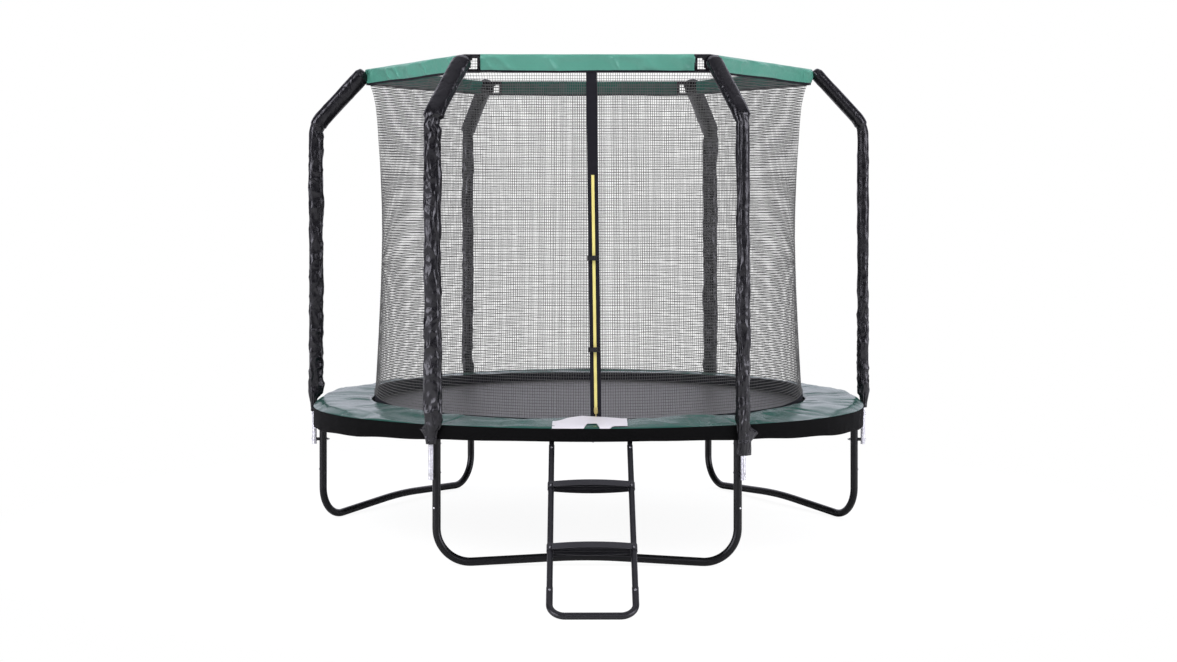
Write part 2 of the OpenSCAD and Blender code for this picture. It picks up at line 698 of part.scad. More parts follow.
// One upright strip of knotted net between two azimuths: a lattice of cords with open gaps
module net_strip(a0) {
    az = stops(strip_az - strip_gap_az, gaps_across, net_cord_w / net_foot_r * 180 / PI);
    up = stops(net_kink_z + net_cord_w / 2 - net_z[0], gaps_up, net_cord_w);
    zz = [for (i = [0:len(up) - 1]) i < len(up) - 1 ? up[i] : net_z[1] - net_z[0]];
    nc = len(az);
    nr = len(zz);
    points = [for (side = [-1, 1]) for (z = zz) for (a = az)
        let (r = net_r(a0 + a, net_z[0] + z) + side * net_t / 2)
        [r * sin(a0 + a), -r * cos(a0 + a), net_z[0] + z]];
    polyhedron(points, lattice_faces(nc, nr));
}

// A cell of the lattice is open where both its column and its row are odd
function solid_cell(i, j, nc, nr) = i >= 0 && j >= 0 && i < nc - 1 && j < nr - 1
    && !(i % 2 == 1 && j % 2 == 1);
function halves(q) = [[q[0], q[1], q[2]], [q[0], q[2], q[3]]];
function lattice_faces(nc, nr) = [for (j = [0:nr - 2]) for (i = [0:nc - 2])
    if (solid_cell(i, j, nc, nr)) let (
        n = j * nc + i,
        o = nr * nc + n)
    each concat(
        halves([o, o + nc, o + nc + 1, o + 1]),
        halves([n, n + 1, n + nc + 1, n + nc]),
        solid_cell(i - 1, j, nc, nr) ? [] : halves([n, n + nc, o + nc, o]),
        solid_cell(i + 1, j, nc, nr) ? [] : halves([n + 1, o + 1, o + nc + 1, n + nc + 1]),
        solid_cell(i, j - 1, nc, nr) ? [] : halves([o, o + 1, n + 1, n]),
        solid_cell(i, j + 1, nc, nr) ? [] : halves([o + nc, n + nc, n + nc + 1, o + nc + 1]))];

module net() color([0.2, 0.2, 0.2]) for (i = [0:strips - 1]) net_strip(i * strip_az);

// Black fabric band between the net and the mat
module net_foot_band() color([0.06, 0.06, 0.06]) translate([0, 0, foot_band_top - foot_band_len])
    linear_extrude(foot_band_len, $fn = big_fn)
        ring2d(net_foot_r + foot_band_t / 2, net_foot_r - foot_band_t / 2);

// ---------- door ----------

// The strap's frame: +Z up along the strap from its foot, -Y outwards from the net
module at_strap(up = 0) translate(strap_foot) rotate([strap_pitch, strap_roll, 0])
    translate([0, 0, up]) children();

module slab(w, out0, out1, h) translate([-w / 2, -out1, 0]) cube([w, out1 - out0, h]);

// Upright strap sewn over the slit in the net, with a tail in front of the foot band
module door_strap() color([0.06, 0.06, 0.06]) {
    at_strap() slab(strap_w, 0, strap_t, strap_len);
    translate([strap_foot[0], strap_foot[1], strap_tail_z])
        slab(strap_w, 0, strap_t, strap_foot[2] - strap_tail_z + 0.5);
}

// Yellow teeth tape of the zip
module zip_tape() color("gold") at_strap(zip_foot)
    slab(zip_w, strap_t, strap_t + zip_t, along_strap(zip_top_z) - zip_foot);

// Slider that straddles the teeth, with two lugs for the pull's pin
module zip_slider() color("goldenrod") at_strap(slider_at) {
    difference() {
        union() {
            slab(slider_w, strap_t + fit, slider_top, slider_len);
            for (s = [-1, 1]) translate([s * 4 - 1, -slider_top - 3.5, slider_len / 2 - 2.5])
                cube([2, 4, 5]);
        }
        translate([0, 0, -cut]) slab(zip_w + 2 * fit, strap_t, strap_t + zip_t + fit,
            slider_len + 2 * cut);
        translate([-8, -slider_top - 1.8, slider_len / 2]) rotate([0, 90, 0])
            cylinder(r = pull_pin_r + 0.05, h = 16, $fn = 24);
    }
}

// Pull tab hanging from its pin in front of the slider
module zip_pull() color("goldenrod") at_strap(slider_at)
    translate([0, -slider_top - 1.8, slider_len / 2]) {
        translate([-5.2, 0, 0]) rotate([0, 90, 0]) cylinder(r = pull_pin_r, h = 10.4, $fn = 24);
        difference() {
            translate([-2.4, -pull_t / 2, -pull_len]) cube([4.8, pull_t, pull_len]);
            translate([0, -pull_t, -pull_len + 8]) rotate([-90, 0, 0])
                cylinder(r = 1.4, h = 2 * pull_t, $fn = 24);
        }
    }

// A buckle's frame: centred on the strap, with +Z up the strap and -Y outwards
module at_buckle(i) at_strap(along_strap(buckle_z[i])) translate([0, -buckle_off, 0]) children();

// Sockets of the side-release buckles, on webbing feet at the strap's left edge
module buckle_sockets() color([0.05, 0.05, 0.05]) for (i = [0, 1]) at_buckle(i) difference() {
    union() {
        translate([-34, -buckle_t, -buckle_h / 2]) cube([38, buckle_t, buckle_h]);
        translate([-strap_w / 2 + 1, 0, -10]) cube([6, buckle_off - strap_t - 0.2, 20]);
    }
    translate([-24, -buckle_t + 2, -buckle_h / 2 + 3.5]) cube([29, buckle_t - 4, buckle_h - 7]);
    for (s = [-1, 1]) translate([-16, -buckle_t / 2, s * buckle_h / 2]) rotate([90, 0, 0])
        cylinder(r = 5, h = buckle_t + 2, center = true);
}

// Plug of one buckle: a body outside the socket, two side prongs and a middle tongue
module buckle_plug(i) color([0.05, 0.05, 0.05]) at_buckle(i) {
    translate([4 + fit, -buckle_t, -buckle_h / 2]) difference() {
        cube([22, buckle_t, buckle_h]);
        translate([12, -cut, 4]) cube([5, buckle_t + 2 * cut, buckle_h - 8]);
    }
    for (z = [-6.5, 0, 6.5]) translate([-22, -buckle_t + 2 + fit, z - 1.6])
        cube([27, buckle_t - 4 - 2 * fit, 3.2]);
}

// ---------- ladder ----------

// The ladder's frame: origin at the ring tube's centre, +Z up along the rails
module at_ladder() at_az(ladder_az) translate([0, hinge_y, ring_z]) rotate([-ladder_lean, 0, 0])
    children();

module both_rails() for (s = [-1, 1]) translate([s * rail_half_w, rail_off, 0]) children();

// A bolt's hole across a rail, at distance down the rail
module cross_hole(down) translate([0, -40, -down]) rotate([-90, 0, 0])
    cylinder(r = ladder_bolt_r + 0.2, h = 80);

function tread_bolt(i) = down_rail(tread_z[i]) - collar_bolt_up;
function loop_bolt() = loop_top + loop_insert / 2;

// Two straight rail tubes
module ladder_rails() {
    rail_len = loop_top + loop_insert - rail_top;
    color([0.12, 0.12, 0.13]) at_ladder() both_rails() difference() {
        translate([0, 0, -rail_top - rail_len]) linear_extrude(rail_len)
            ring2d(rail_d / 2, rail_d / 2 - ladder_wall);
        for (i = [0, 1]) cross_hole(tread_bolt(i));
        cross_hole(loop_bolt());
        cross_hole(rail_top + 30);
    }
}

// U-shaped foot loop whose legs sleeve the rails' lower ends
module ladder_foot_loop() color([0.12, 0.12, 0.13]) at_ladder() difference() {
    for (side = [0, 1]) mirror([side, 0, 0]) translate([0, rail_off, -ladder_len])
        rotate([0, 90, 0]) tube_run([[rail_half_w - loop_bend_r, 0], [loop_bend_r, 90, 90],
            [loop_leg - loop_bend_r, 0]], loop_d / 2, loop_d / 2 - ladder_wall);
    both_rails() cross_hole(loop_bolt());
}

// Plan of a tread: bowed front and rear edges, shrunk by a wall
module tread_plan(wall) {
    r = (tread_half * tread_half + tread_bow * tread_bow) / (2 * tread_bow);
    intersection() {
        translate([0, r - tread_depth / 2]) circle(r - wall, $fn = big_fn);
        translate([0, tread_depth / 2 - r]) circle(r - wall, $fn = big_fn);
        square([2 * (tread_half - wall), 2 * tread_depth], center = true);
    }
}

// Pressed step: bowed plate with a flange all round, stiffening ribs and a collar on each rail
module tread(i) color([0.14, 0.14, 0.15]) at_ladder() difference() {
    translate([0, rail_off, -down_rail(tread_z[i])]) {
        rotate([ladder_lean - tread_tilt, 0, 0]) translate([0, 0, -tread_flange / 2]) difference() {
            linear_extrude(tread_flange) tread_plan(0);
            difference() {
                translate([0, 0, -cut]) linear_extrude(tread_flange + cut - tread_t)
                    tread_plan(tread_t);
                for (y = [-16, 16]) translate([-tread_half, y - 1, 6])
                    cube([2 * tread_half, 2, tread_flange]);
            }
        }
        for (s = [-1, 1]) translate([s * rail_half_w, 0, -collar_len / 2])
            cylinder(d = collar_d, h = collar_len);
    }
    both_rails() {
        translate([0, 0, -down_rail(tread_z[i]) - tread_depth])
            cylinder(r = rail_d / 2 + fit, h = 2 * tread_depth);
        cross_hole(tread_bolt(i));
    }
}

// Flat hooks: a tongue in the rail's top, a bend outwards and a wrap over the ring tube
module ladder_hooks() color([0.1, 0.1, 0.1]) at_ladder() both_rails() difference() {
    translate([0, 0, -hook_low - hook_tongue]) run([[hook_tongue, 0],
        [hook_bend_r, hook_turn, 180], [hook_flat, 0], [hook_mid_r, hook_wrap, 0]]) {
        square([hook_w, hook_t], center = true);
        square([hook_w - 2 * bend_draw, hook_t - 2 * bend_draw], center = true);
    }
    cross_hole(rail_top + 30);
}

// Bolts with domed heads on the ladder's front, through treads, foot loop and hooks
module ladder_bolts() color("silver") at_ladder() both_rails() {
    for (i = [0, 1]) translate([0, 0, -tread_bolt(i)]) ladder_bolt(collar_d);
    translate([0, 0, -loop_bolt()]) ladder_bolt(loop_d);
    translate([0, 0, -rail_top - 30]) ladder_bolt(rail_d);
}

// One bolt across a tube of diameter d, with its nut
module ladder_bolt(d) rotate([-90, 0, 0]) translate([0, 0, -d / 2]) {
    rotate_extrude() polygon([[0, -4.2], [2.5, -4], [5, -2.6], [6, -0.2], [ladder_bolt_r, -0.2],
        [ladder_bolt_r, d + 6], [0, d + 6]]);
    translate([0, 0, d + 0.3]) cylinder(r = 5.5, h = 4.5, $fn = 6);
}

// ---------- nodes ----------

rail(1);  // rail_1
rail(2);  // rail_2
rail(3);  // rail_3
rail(4);  // rail_4
rail(5);  // rail_5
rail(6);  // rail_6
leg_post(1);  // leg_post_1
leg_post(2);  // leg_post_2
leg_post(3);  // leg_post_3
leg_post(4);  // leg_post_4
leg_post(5);  // leg_post_5
leg_post(6);  // leg_post_6
leg_base(0);  // leg_base_front
leg_base(120);  // leg_base_right
leg_base(-120);  // leg_base_left
frame_screws();
spring_set(1);  // spring_set_1
spring_set(2);  // spring_set_2
spring_set(3);  // spring_set_3
jumping_mat();
mat_webbing();
v_rings();
safety_pad();
pad_skirt();
pad_patch();
pole_lower_tubes();
pole_upper(1);  // pole_upper_1
pole_upper(2);  // pole_upper_2
pole_upper(3);  // pole_upper_3
pole_upper(4);  // pole_upper_4
pole_upper(5);  // pole_upper_5
pole_upper(6);  // pole_upper_6
pole_caps();
foam_tubes();
pole_sleeve(1);  // pole_sleeve_1
pole_sleeve(2);  // pole_sleeve_2
pole_sleeve(3);  // pole_sleeve_3
pole_sleeve(4);  // pole_sleeve_4
pole_sleeve(5);  // pole_sleeve_5
pole_sleeve(6);  // pole_sleeve_6
pole_spacers();
pole_bolts();
pole_nuts();
top_band();
corner_pockets();
net();
net_foot_band();
door_strap();
zip_tape();
zip_slider();
zip_pull();
buckle_sockets();
buckle_plug(0);  // buckle_plug_upper
buckle_plug(1);  // buckle_plug_lower
ladder_rails();
ladder_foot_loop();
tread(0);  // tread_upper
tread(1);  // tread_lower
ladder_hooks();
ladder_bolts();
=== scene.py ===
"""Looks for the garden trampoline: net, pad, sleeves, bands, springs, materials, light and camera."""
import json
import math
import bpy
import numpy as np
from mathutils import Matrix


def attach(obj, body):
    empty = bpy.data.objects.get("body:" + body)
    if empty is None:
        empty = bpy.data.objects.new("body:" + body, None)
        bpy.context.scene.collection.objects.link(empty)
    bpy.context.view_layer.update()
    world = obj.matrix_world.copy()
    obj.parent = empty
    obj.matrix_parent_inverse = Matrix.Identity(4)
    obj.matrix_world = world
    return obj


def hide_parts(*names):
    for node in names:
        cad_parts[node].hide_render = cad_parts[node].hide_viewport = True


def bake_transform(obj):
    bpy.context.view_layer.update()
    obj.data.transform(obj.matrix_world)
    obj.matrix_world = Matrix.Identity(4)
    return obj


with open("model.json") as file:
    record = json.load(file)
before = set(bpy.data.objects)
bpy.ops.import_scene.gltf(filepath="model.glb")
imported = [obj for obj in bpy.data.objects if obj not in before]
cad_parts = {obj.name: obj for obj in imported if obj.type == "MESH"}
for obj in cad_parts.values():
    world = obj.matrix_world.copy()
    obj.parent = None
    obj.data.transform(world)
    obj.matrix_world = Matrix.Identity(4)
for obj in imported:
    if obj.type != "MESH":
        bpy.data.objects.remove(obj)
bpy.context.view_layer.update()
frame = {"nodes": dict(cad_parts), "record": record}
NODES = frame["nodes"]
PI = math.pi
D = PI / 180  # one degree in radians
POSTS = [-150, -90, -30, 30, 90, 150]  # azimuths of poles 1 to 6, in degrees from the front

# ------------------------------------------------------------------ camera
PHOTO_WIDTH = 1177  # pixels
FOCAL_LENGTH = 1939  # pixels
HORIZON_RISE = 147.5  # pixels from the picture's middle up to the horizon
SENSOR_WIDTH = 36

camera = bpy.data.objects.new("camera", bpy.data.cameras.new("camera"))
bpy.context.scene.collection.objects.link(camera)
camera.location = (0.0593, -10.985, 1.910)
camera.rotation_euler = (90 * D, 0, 0.308 * D)
camera.data.sensor_width = SENSOR_WIDTH
camera.data.lens = SENSOR_WIDTH * FOCAL_LENGTH / PHOTO_WIDTH
camera.data.shift_y = -HORIZON_RISE / PHOTO_WIDTH
camera.data.clip_end = 200
bpy.context.scene.camera = camera
bpy.context.scene.view_settings.view_transform = "Standard"


# ------------------------------------------------------------------ numbers
def smooth(x, a=0.0, b=1.0):
    t = np.clip((np.asarray(x, float) - a) / (b - a), 0, 1)
    return t * t * (3 - 2 * t)


def vnoise(x, y, z, seed=0):
    """Smooth value noise from 0 to 1 on a unit lattice."""
    x, y, z = np.broadcast_arrays(*(np.asarray(v, float) for v in (x, y, z)))
    i, j, k = (np.floor(v).astype(np.int64) for v in (x, y, z))
    f, g, h = x - i, y - j, z - k
    f, g, h = (v * v * (3 - 2 * v) for v in (f, g, h))
    out = np.zeros(x.shape)
    for a in (0, 1):
        for b in (0, 1):
            for c in (0, 1):
                n = (i + a) * 73856093 ^ (j + b) * 19349663 ^ (k + c) * 83492791 ^ (seed * 7919 + 17)
                n = (n ^ (n >> 13)) * 1274126177
                n = (n ^ (n >> 16)) & 0xFFFF
                w = (f if a else 1 - f) * (g if b else 1 - g) * (h if c else 1 - h)
                out += w * n / 65535.0
    return out


def fbm(x, y, z, seed=0, octaves=3):
    """Sum of noises, from about -1 to 1."""
    out, amp, total = 0, 1.0, 0.0
    for o in range(octaves):
        out = out + amp * (2 * vnoise(x * 2 ** o, y * 2 ** o, z * 2 ** o, seed + o) - 1)
        total += amp
        amp *= 0.5
    return out / total


def ridge(x, y, z, seed=0):
    """Creased noise from 0 to 1, with sharp crests."""
    return 1 - np.abs(2 * vnoise(x, y, z, seed) - 1)


def lookup(x, table):
    xs, ys = zip(*table)
    return np.interp(x, xs, ys)


# ------------------------------------------------------------------ meshes
def make(name, co, quads, smooth_shade=True, uv=None, index=None):
    """Object from points and quads, with UVs per point and a material index per quad."""
    co = np.asarray(co, np.float32).reshape(-1, 3)
    quads = np.asarray(quads, np.int32).reshape(-1, 4)
    mesh = bpy.data.meshes.new(name)
    mesh.vertices.add(len(co))
    mesh.vertices.foreach_set("co", co.ravel())
    mesh.loops.add(quads.size)
    mesh.loops.foreach_set("vertex_index", quads.ravel())
    mesh.polygons.add(len(quads))
    mesh.polygons.foreach_set("loop_start", np.arange(0, quads.size, 4, dtype=np.int32))
    mesh.polygons.foreach_set("use_smooth", np.full(len(quads), smooth_shade))
    if index is not None:
        mesh.polygons.foreach_set("material_index", np.asarray(index, np.int32))
    mesh.update(calc_edges=True)
    if uv is not None:
        layer = mesh.uv_layers.new(name="UVMap")
        layer.data.foreach_set("uv", np.asarray(uv, np.float32).reshape(-1, 2)[quads.ravel()].ravel())
    obj = bpy.data.objects.new(name, mesh)
    bpy.context.scene.collection.objects.link(obj)
    return obj


def grid_quads(n, m, wrap_n=False, wrap_m=False):
    """Quads of an n by m grid of points."""
    i = np.arange(n if wrap_n else n - 1)
    j = np.arange(m if wrap_m else m - 1)
    i, j = np.meshgrid(i, j, indexing="ij")
    i2, j2 = (i + 1) % n, (j + 1) % m
    return np.stack([i * m + j, i2 * m + j, i2 * m + j2, i * m + j2], -1).reshape(-1, 4)


def tube(path, radius, sides, up):
    """Points and quads of a round tube along a path."""
    p = np.asarray(path, float)
    t = np.gradient(p, axis=0)
    t /= np.linalg.norm(t, axis=1, keepdims=True)
    n = np.cross(t, up)
    bad = np.linalg.norm(n, axis=1) < 1e-4
    n[bad] = np.cross(t[bad], (1, 0, 0.01))
    n /= np.linalg.norm(n, axis=1, keepdims=True)
    b = np.cross(n, t)
    a = np.arange(sides) * 2 * PI / sides
    r = np.broadcast_to(np.asarray(radius, float), (len(p),))[:, None, None]
    ring = np.cos(a)[None, :, None] * n[:, None] + np.sin(a)[None, :, None] * b[:, None]
    return (p[:, None] + r * ring).reshape(-1, 3), grid_quads(len(p), sides, False, True)


def join(parts):
    """Several (points, quads) as one."""
    co, quads, base = [], [], 0
    for c, q in parts:
        c = np.asarray(c, float).reshape(-1, 3)
        co.append(c)
        quads.append(np.asarray(q) + base)
        base += len(c)
    return np.concatenate(co), np.concatenate(quads)


def polar(r, a, z):
    """Points at radius r, azimuth a in degrees from the front, height z."""
    r, a, z = np.broadcast_arrays(r, np.asarray(a) * D, z)
    return np.stack([r * np.sin(a), -r * np.cos(a), z], -1)


# ------------------------------------------------------------------ materials
def shader(name, color, rough=0.5, metal=0.0, spec=0.5):
    mat = bpy.data.materials.new(name)
    mat.use_nodes = True
    nt = mat.node_tree
    bsdf = nt.nodes["Principled BSDF"]
    bsdf.inputs["Base Color"].default_value = (*color, 1)
    bsdf.inputs["Roughness"].default_value = rough
    bsdf.inputs["Metallic"].default_value = metal
    bsdf.inputs["Specular IOR Level"].default_value = spec
    return mat, nt, bsdf


def node(nt, kind, **values):
    n = nt.nodes.new(kind)
    for key, value in values.items():
        if key in n.inputs:
            n.inputs[key].default_value = value
        else:
            setattr(n, key, value)
    return n


def coords(nt, space="Object", scale=(1, 1, 1)):
    tc = node(nt, "ShaderNodeTexCoord")
    mp = node(nt, "ShaderNodeMapping")
    mp.inputs["Scale"].default_value = scale
    nt.links.new(tc.outputs[space], mp.inputs["Vector"])
    return mp.outputs["Vector"]


def vary(nt, bsdf, vec, color, scale, amount, rough, rough_amount):
    """Colour and roughness that wander a little with a noise."""
    n = node(nt, "ShaderNodeTexNoise", Scale=scale, Detail=4.0, Roughness=0.6)
    nt.links.new(vec, n.inputs["Vector"])
    ramp = node(nt, "ShaderNodeMix", data_type="RGBA")
    dark = [c * (1 - amount) for c in color]
    light = [min(1, c * (1 + amount)) for c in color]
    ramp.inputs["A"].default_value = (*dark, 1)
    ramp.inputs["B"].default_value = (*light, 1)
    nt.links.new(n.outputs["Fac"], ramp.inputs["Factor"])
    mr = node(nt, "ShaderNodeMapRange")
    mr.inputs["To Min"].default_value = rough - rough_amount
    mr.inputs["To Max"].default_value = rough + rough_amount
    nt.links.new(n.outputs["Fac"], mr.inputs["Value"])
    nt.links.new(mr.outputs["Result"], bsdf.inputs["Roughness"])
    nt.links.new(ramp.outputs["Result"], bsdf.inputs["Base Color"])


def math_node(nt, op, a, b=None):
    n = node(nt, "ShaderNodeMath", operation=op)
    for i, v in enumerate((a, b)):
        if v is None:
            continue
        if hasattr(v, "links"):
            nt.links.new(v, n.inputs[i])
        else:
            n.inputs[i].default_value = v
    return n.outputs[0]


def weave_height(nt, space, pitch):
    """Height of a plain weave of the given pitch in metres, from two crossed waves."""
    tc = node(nt, "ShaderNodeTexCoord")
    sep = node(nt, "ShaderNodeSeparateXYZ")
    nt.links.new(tc.outputs[space], sep.inputs[0])
    k = PI / pitch
    a = math_node(nt, "SINE", math_node(nt, "MULTIPLY", sep.outputs[0], k))
    b = math_node(nt, "SINE", math_node(nt, "MULTIPLY", sep.outputs[1], k))
    return math_node(nt, "MULTIPLY", a, b)


def add_bump(nt, bsdf, height, strength, distance, previous=None):
    bump = node(nt, "ShaderNodeBump", Strength=strength, Distance=distance)
    nt.links.new(height, bump.inputs["Height"])
    if previous is not None:
        nt.links.new(previous, bump.inputs["Normal"])
    nt.links.new(bump.outputs["Normal"], bsdf.inputs["Normal"])
    return bump.outputs["Normal"]


VINYL_PITCH = 0.0022  # of the coated cloth's weave


def vinyl(name, color, rough, spec=0.5, crease=0.5):
    """Coated cloth: a faint weave under a smooth skin, with soft creases."""
    mat, nt, bsdf = shader(name, color, rough, spec=spec)
    vary(nt, bsdf, coords(nt), color, 5, 0.1, rough, 0.06)
    n = node(nt, "ShaderNodeTexNoise", Scale=38, Detail=3, Roughness=0.55, Distortion=0.8)
    nt.links.new(coords(nt), n.inputs["Vector"])
    first = add_bump(nt, bsdf, n.outputs["Fac"], crease, 0.004)
    add_bump(nt, bsdf, weave_height(nt, "UV", VINYL_PITCH), 0.12, 0.0003, first)
    return mat


def crumpled(name, color, rough):
    """Thin glossy coated cloth with sharp crumples, mostly lengthwise."""
    mat, nt, bsdf = shader(name, color, rough, spec=0.5)
    vary(nt, bsdf, coords(nt), color, 6, 0.25, rough, 0.08)
    bend = None
    for scale, stretch, amount in ((19, 0.36, 0.0036), (42, 0.5, 0.0009)):
        n = node(nt, "ShaderNodeTexNoise", Scale=scale, Detail=1.0, Roughness=0.5, Distortion=1.1)
        nt.links.new(coords(nt, scale=(1, 1, stretch)), n.inputs["Vector"])
        fold = math_node(nt, "ABSOLUTE", math_node(nt, "SUBTRACT", n.outputs["Fac"], 0.5))
        bend = add_bump(nt, bsdf, math_node(nt, "MULTIPLY", fold, 2.0), 0.9, amount, bend)
    add_bump(nt, bsdf, weave_height(nt, "UV", VINYL_PITCH), 0.12, 0.0003, bend)
    return mat


def woven(name, color, rough, pitch, strength, space, spec=0.35):
    """Open cloth with a plain weave that shows."""
    mat, nt, bsdf = shader(name, color, rough, spec=spec)
    vary(nt, bsdf, coords(nt), color, 9, 0.18, rough, 0.05)
    add_bump(nt, bsdf, weave_height(nt, space, pitch), strength, pitch * 0.3)
    return mat


def powder(name, color, rough, spec=0.5):
    """Powder coat, plastic or foam: plain, with a very fine grain."""
    mat, nt, bsdf = shader(name, color, rough, spec=spec)
    vary(nt, bsdf, coords(nt), color, 3, 0.15, rough, 0.05)
    fine = node(nt, "ShaderNodeTexNoise", Scale=900, Detail=2, Roughness=0.5)
    nt.links.new(coords(nt), fine.inputs["Vector"])
    add_bump(nt, bsdf, fine.outputs["Fac"], 0.12, 0.0004)
    return mat


def galvanised(name, color, rough, spangle):
    """Zinc-coated steel with its spangle."""
    mat, nt, bsdf = shader(name, color, rough, metal=1.0)
    v = node(nt, "ShaderNodeTexVoronoi", Scale=spangle)
    nt.links.new(coords(nt), v.inputs["Vector"])
    mix = node(nt, "ShaderNodeMix", data_type="RGBA")
    mix.inputs["A"].default_value = (*[c * 0.82 for c in color], 1)
    mix.inputs["B"].default_value = (*[min(1, c * 1.12) for c in color], 1)
    sep = node(nt, "ShaderNodeSeparateColor")
    nt.links.new(v.outputs["Color"], sep.inputs[0])
    nt.links.new(sep.outputs[0], mix.inputs["Factor"])
    nt.links.new(mix.outputs["Result"], bsdf.inputs["Base Color"])
    mr = node(nt, "ShaderNodeMapRange")
    mr.inputs["To Min"].default_value = rough - 0.08
    mr.inputs["To Max"].default_value = rough + 0.14
    nt.links.new(sep.outputs[1], mr.inputs["Value"])
    nt.links.new(mr.outputs["Result"], bsdf.inputs["Roughness"])
    return mat


GREEN = (0.022, 0.090, 0.070)
MATERIALS = {
    "black_steel": powder("black_steel", (0.0045, 0.0045, 0.0050), 0.32, 0.30),
    "ladder_steel": powder("ladder_steel", (0.010, 0.010, 0.0120), 0.34, 0.45),
    "tread_plastic": powder("tread_steel", (0.026, 0.026, 0.029), 0.42, 0.4),
    "zinc_hardware": galvanised("zinc_hardware", (0.68, 0.68, 0.68), 0.3, 400),
    "spring_steel": galvanised("spring_steel", (0.66, 0.67, 0.68), 0.32, 300),
    "galvanised_tube": galvanised("galvanised_tube", (0.74, 0.74, 0.765), 0.42, 120),
    "mat_fabric": woven("mat_fabric", (0.060, 0.060, 0.058), 0.42, 0.0045, 0.12, "Object", 0.45),
    "webbing": woven("webbing", (0.010, 0.0095, 0.013), 0.75, 0.003, 0.6, "Object", 0.2),
    "pad_vinyl": vinyl("pad_vinyl", GREEN, 0.25, spec=0.42, crease=0.045),
    "band_fabric": vinyl("band_fabric", (0.094, 0.322, 0.238), 0.34, crease=0.8),
    "skirt_fabric": woven("skirt_fabric", (0.0035, 0.0035, 0.0035), 0.75, 0.0025, 0.4, "UV", 0.06),
    "patch_vinyl": vinyl("patch_vinyl", (0.74, 0.72, 0.75), 0.4, crease=0.15),
    # the band's inside: a darker copy of the band's green, which is painted shade
    "band_inside_painted_shade": vinyl("band_inside_painted_shade", (0.022, 0.086, 0.066), 0.5, spec=0.3, crease=0.25),
    "moulded_plastic": powder("moulded_plastic", (0.012, 0.012, 0.013), 0.45, 0.4),
    "foam": powder("foam", (0.7, 0.7, 0.7), 0.8),
    "sleeve_vinyl": crumpled("sleeve_vinyl", (0.0040, 0.0037, 0.0052), 0.25),
    "net_mesh": woven("net_mesh", (0.122, 0.122, 0.118), 0.85, 0.002, 0.2, "Object", 0.2),
    "zip_yellow": woven("zip_yellow", (0.92, 0.77, 0.25), 0.45, 0.0016, 0.7, "Object"),
    "zip_metal": galvanised("zip_metal", (0.88, 0.74, 0.30), 0.35, 300),
    "dull_bolt": galvanised("dull_bolt", (0.40, 0.40, 0.41), 0.5, 400),
}


def paint(obj, *slots):
    """Gives the object its materials; the first one names its slot."""
    for s in slots:
        obj.data.materials.append(MATERIALS[s])


SLOT = {s["node"]: s["material_slot"] for s in frame["record"]["subparts"]}
SLOT["ladder_bolts"] = "dull_bolt"
for name, obj in NODES.items():
    obj.data.materials.clear()
    obj.data.materials.append(MATERIALS[SLOT[name]])

# ------------------------------------------------------------------ net
# tables of pairs: a height and the net's radius at its corners; an azimuth and the foot band's top
CORNER_R = [(0.676, 1.205), (0.745, 1.199), (0.797, 1.188), (0.93, 1.181), (1.057, 1.175), (1.33, 1.166),
            (1.60, 1.165), (1.817, 1.172), (2.0, 1.180), (2.128, 1.189), (2.25, 1.197), (2.349, 1.207),
            (2.41, 1.220), (2.46, 1.236), (2.492, 1.252), (2.56, 1.252)]
FOOT_TOP = [(0, 0.722), (60, 0.722), (75, 0.738), (90, 0.757), (105, 0.752), (130, 0.736), (150, 0.728),
            (180, 0.722)]
NET_FOOT, NET_TOP = 0.7448, 2.5508
ROUND_Z, HEXAGON_Z = 0.745, 2.467  # heights between which the net's plan changes
ROUND_R, FLAT_R, POINT_R = 1.2045, 1.0843, 1.2521  # at the mat, and at the band's sides and corners
STRAND = 0.00124  # radius of a net strand that faces the front
FOOT_LOW = 0.6768  # foot of the band at the net's foot
BAND_MID = 1.256 * math.cos(30 * D)


def foot_top(a):
    """Height of the foot band's top edge at azimuth a."""
    return lookup(np.abs((np.asarray(a, float) + 180) % 360 - 180), FOOT_TOP)


def net_r(a, z):
    """Net radius: round at the mat, hexagonal at the band, its corner lines bowed inwards."""
    side = a - 60 * np.round(a / 60)
    flat = np.cos(30 * D) / np.cos(side * D)
    corner = (flat - np.cos(30 * D)) / (1 - np.cos(30 * D))
    t = np.clip((z - ROUND_Z) / (HEXAGON_Z - ROUND_Z), 0, 1)
    wide = (1 - t) * ROUND_R + t * FLAT_R * flat / np.cos(30 * D)
    return wide + corner ** 1.2 * (lookup(z, CORNER_R) - ((1 - t) * ROUND_R + t * POINT_R))


